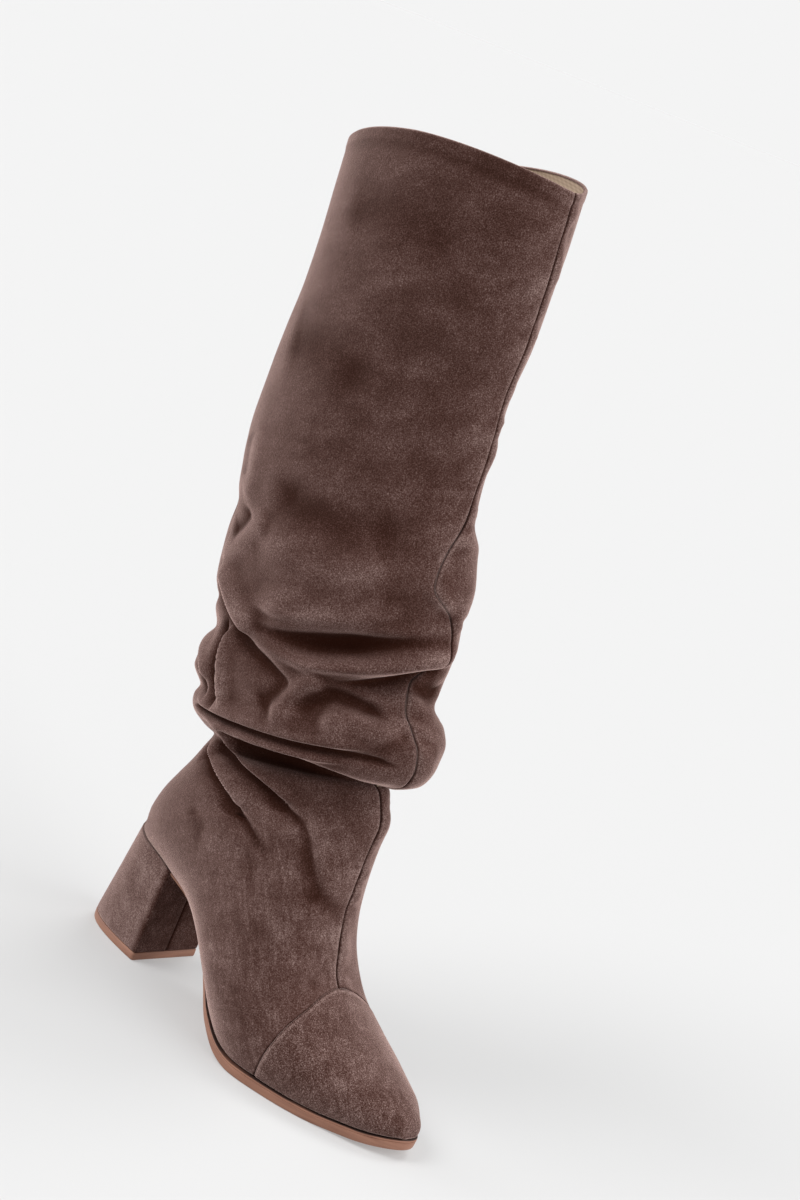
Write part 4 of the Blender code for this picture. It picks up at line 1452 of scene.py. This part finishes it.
@dataclass(frozen=True)
class Studio:
    """Pale floor, soft light and the camera."""

    target: tuple[float, float, float] = (116.08, -136.83, 294.25)
    azimuth: float = 40.36
    height: float = 14.04
    roll: float = 21.07
    distance: float = 1000.0
    lens: float = 70.04
    sensor: float = 36.0
    sight: float = 100.0
    floor_size: float = 60.0
    floor_tone: str = "a8a8a8"
    floor_glow: float = 0.338
    paper: str = "f4f4f4"
    room_light: float = 0.42
    lamps: tuple[Lamp, ...] = (Lamp("key", -0.35, 0.85, 0.4, 1.5, 30.0),
                               Lamp("back", 0.6, 0.8, -0.15, 1.0, 25.0),
                               Lamp("left_edge", -0.9, 0.75, -0.3, 1.7, 50.0),
                               Lamp("right_edge", 0.85, 0.1, 0.45, 2.3, 60.0))

    def axes(self) -> Matrix:
        """The camera's right, top and back as columns.

        Returns:
            The turn from its own axes to the scene's.
        """
        a, e, r = (math.radians(v) for v in (self.azimuth, self.height, self.roll))
        back = Vector((math.sin(a) * math.cos(e), -math.cos(a) * math.cos(e), math.sin(e)))
        right = Vector((math.cos(a), math.sin(a), 0.0))
        up = back.cross(right)
        side = right * math.cos(r) + up * math.sin(r)
        top = up * math.cos(r) - right * math.sin(r)
        return Matrix((side, top, back)).transposed()

    def camera(self) -> None:
        """Adds the camera, turned about its own line of sight."""
        axes = self.axes()
        data = bpy.data.cameras.new("camera")
        data.lens = self.lens
        data.sensor_width = self.sensor
        data.clip_end = self.sight
        camera = bpy.data.objects.new("camera", data)
        bpy.context.scene.collection.objects.link(camera)
        place = (Vector(self.target) + axes.col[2] * self.distance) * MM
        camera.matrix_world = Matrix.Translation(place) @ axes.to_4x4()
        bpy.context.scene.camera = camera

    def floor(self) -> None:
        """Adds the floor of matt paper, which is not part of the boot. It also glows a little: painted light
        that lightens its shadows and keeps it as bright as the backdrop.
        """
        bm = bmesh.new()
        bmesh.ops.create_grid(bm, x_segments=1, y_segments=1, size=self.floor_size / 2)
        mesh = bpy.data.meshes.new("studio_floor")
        bm.to_mesh(mesh)
        bm.free()
        floor = bpy.data.objects.new("studio_floor", mesh)
        bpy.context.scene.collection.objects.link(floor)
        material, tree = new_material("floor_paper")
        shader = add_node(tree, "ShaderNodeBsdfPrincipled",
                          {"Base Color": srgb(self.floor_tone), "Roughness": 0.9, "Specular IOR Level": 0.0,
                           "Emission Color": srgb(self.paper), "Emission Strength": self.floor_glow})
        add_node(tree, "ShaderNodeOutputMaterial", {}, {"Surface": shader.outputs["BSDF"]})
        mesh.materials.append(material)

    def sun(self, lamp: Lamp) -> None:
        """Adds a soft, distant light.

        Args:
            lamp: Its direction, power and spread.
        """
        data = bpy.data.lights.new(lamp.name, "SUN")
        data.energy = lamp.power
        data.angle = math.radians(lamp.spread)
        light = bpy.data.objects.new(lamp.name, data)
        bpy.context.scene.collection.objects.link(light)
        axes = self.axes()
        way = axes.col[0] * lamp.side + axes.col[1] * lamp.up + axes.col[2] * lamp.front
        light.rotation_euler = way.to_track_quat("Z", "Y").to_euler()

    def surround(self) -> None:
        """Adds the even light of the room, and the paper-white background behind the boot."""
        world = bpy.data.worlds.new("studio")
        world.use_nodes = True
        tree = world.node_tree
        room = tree.nodes["Background"]
        room.inputs["Color"].default_value = srgb(self.paper)
        room.inputs["Strength"].default_value = self.room_light
        paper = add_node(tree, "ShaderNodeBackground", {"Color": srgb(self.paper), "Strength": 1.0})
        seen = add_node(tree, "ShaderNodeLightPath").outputs["Is Camera Ray"]
        mix = add_node(tree, "ShaderNodeMixShader", {}, {0: seen, 1: room.outputs[0], 2: paper.outputs[0]})
        tree.links.new(mix.outputs[0], tree.nodes["World Output"].inputs["Surface"])
        bpy.context.scene.world = world
        bpy.context.scene.view_settings.view_transform = "Standard"

    def build(self) -> None:
        """Sets up the stage."""
        self.camera()
        self.floor()
        for lamp in self.lamps:
            self.sun(lamp)
        self.surround()


def main() -> None:
    """Builds the studio and then the boot, piece by piece."""
    logging.basicConfig(level=logging.INFO, format="%(name)s: %(message)s")
    Studio().build()
    last = Last()
    suede = Suede("brushed_suede").build()
    cap_suede = Suede("toe_suede", nap_mm=0.6, contrast=0.6, stroke=1.2, scuff=0.2, grain=2.0).build()
    heel_suede = Suede("heel_suede", contrast=0.9, stroke=1.0, scuff=0.4, tone_lift=0.22).build()
    rubber = SoleRubber().build()
    lining = Lining().build()
    Upper(last, FoldField()).build(suede, cap_suede, lining)
    Bottom(last).build(rubber, lining, heel_suede)


if __name__ == "__main__":
    main()
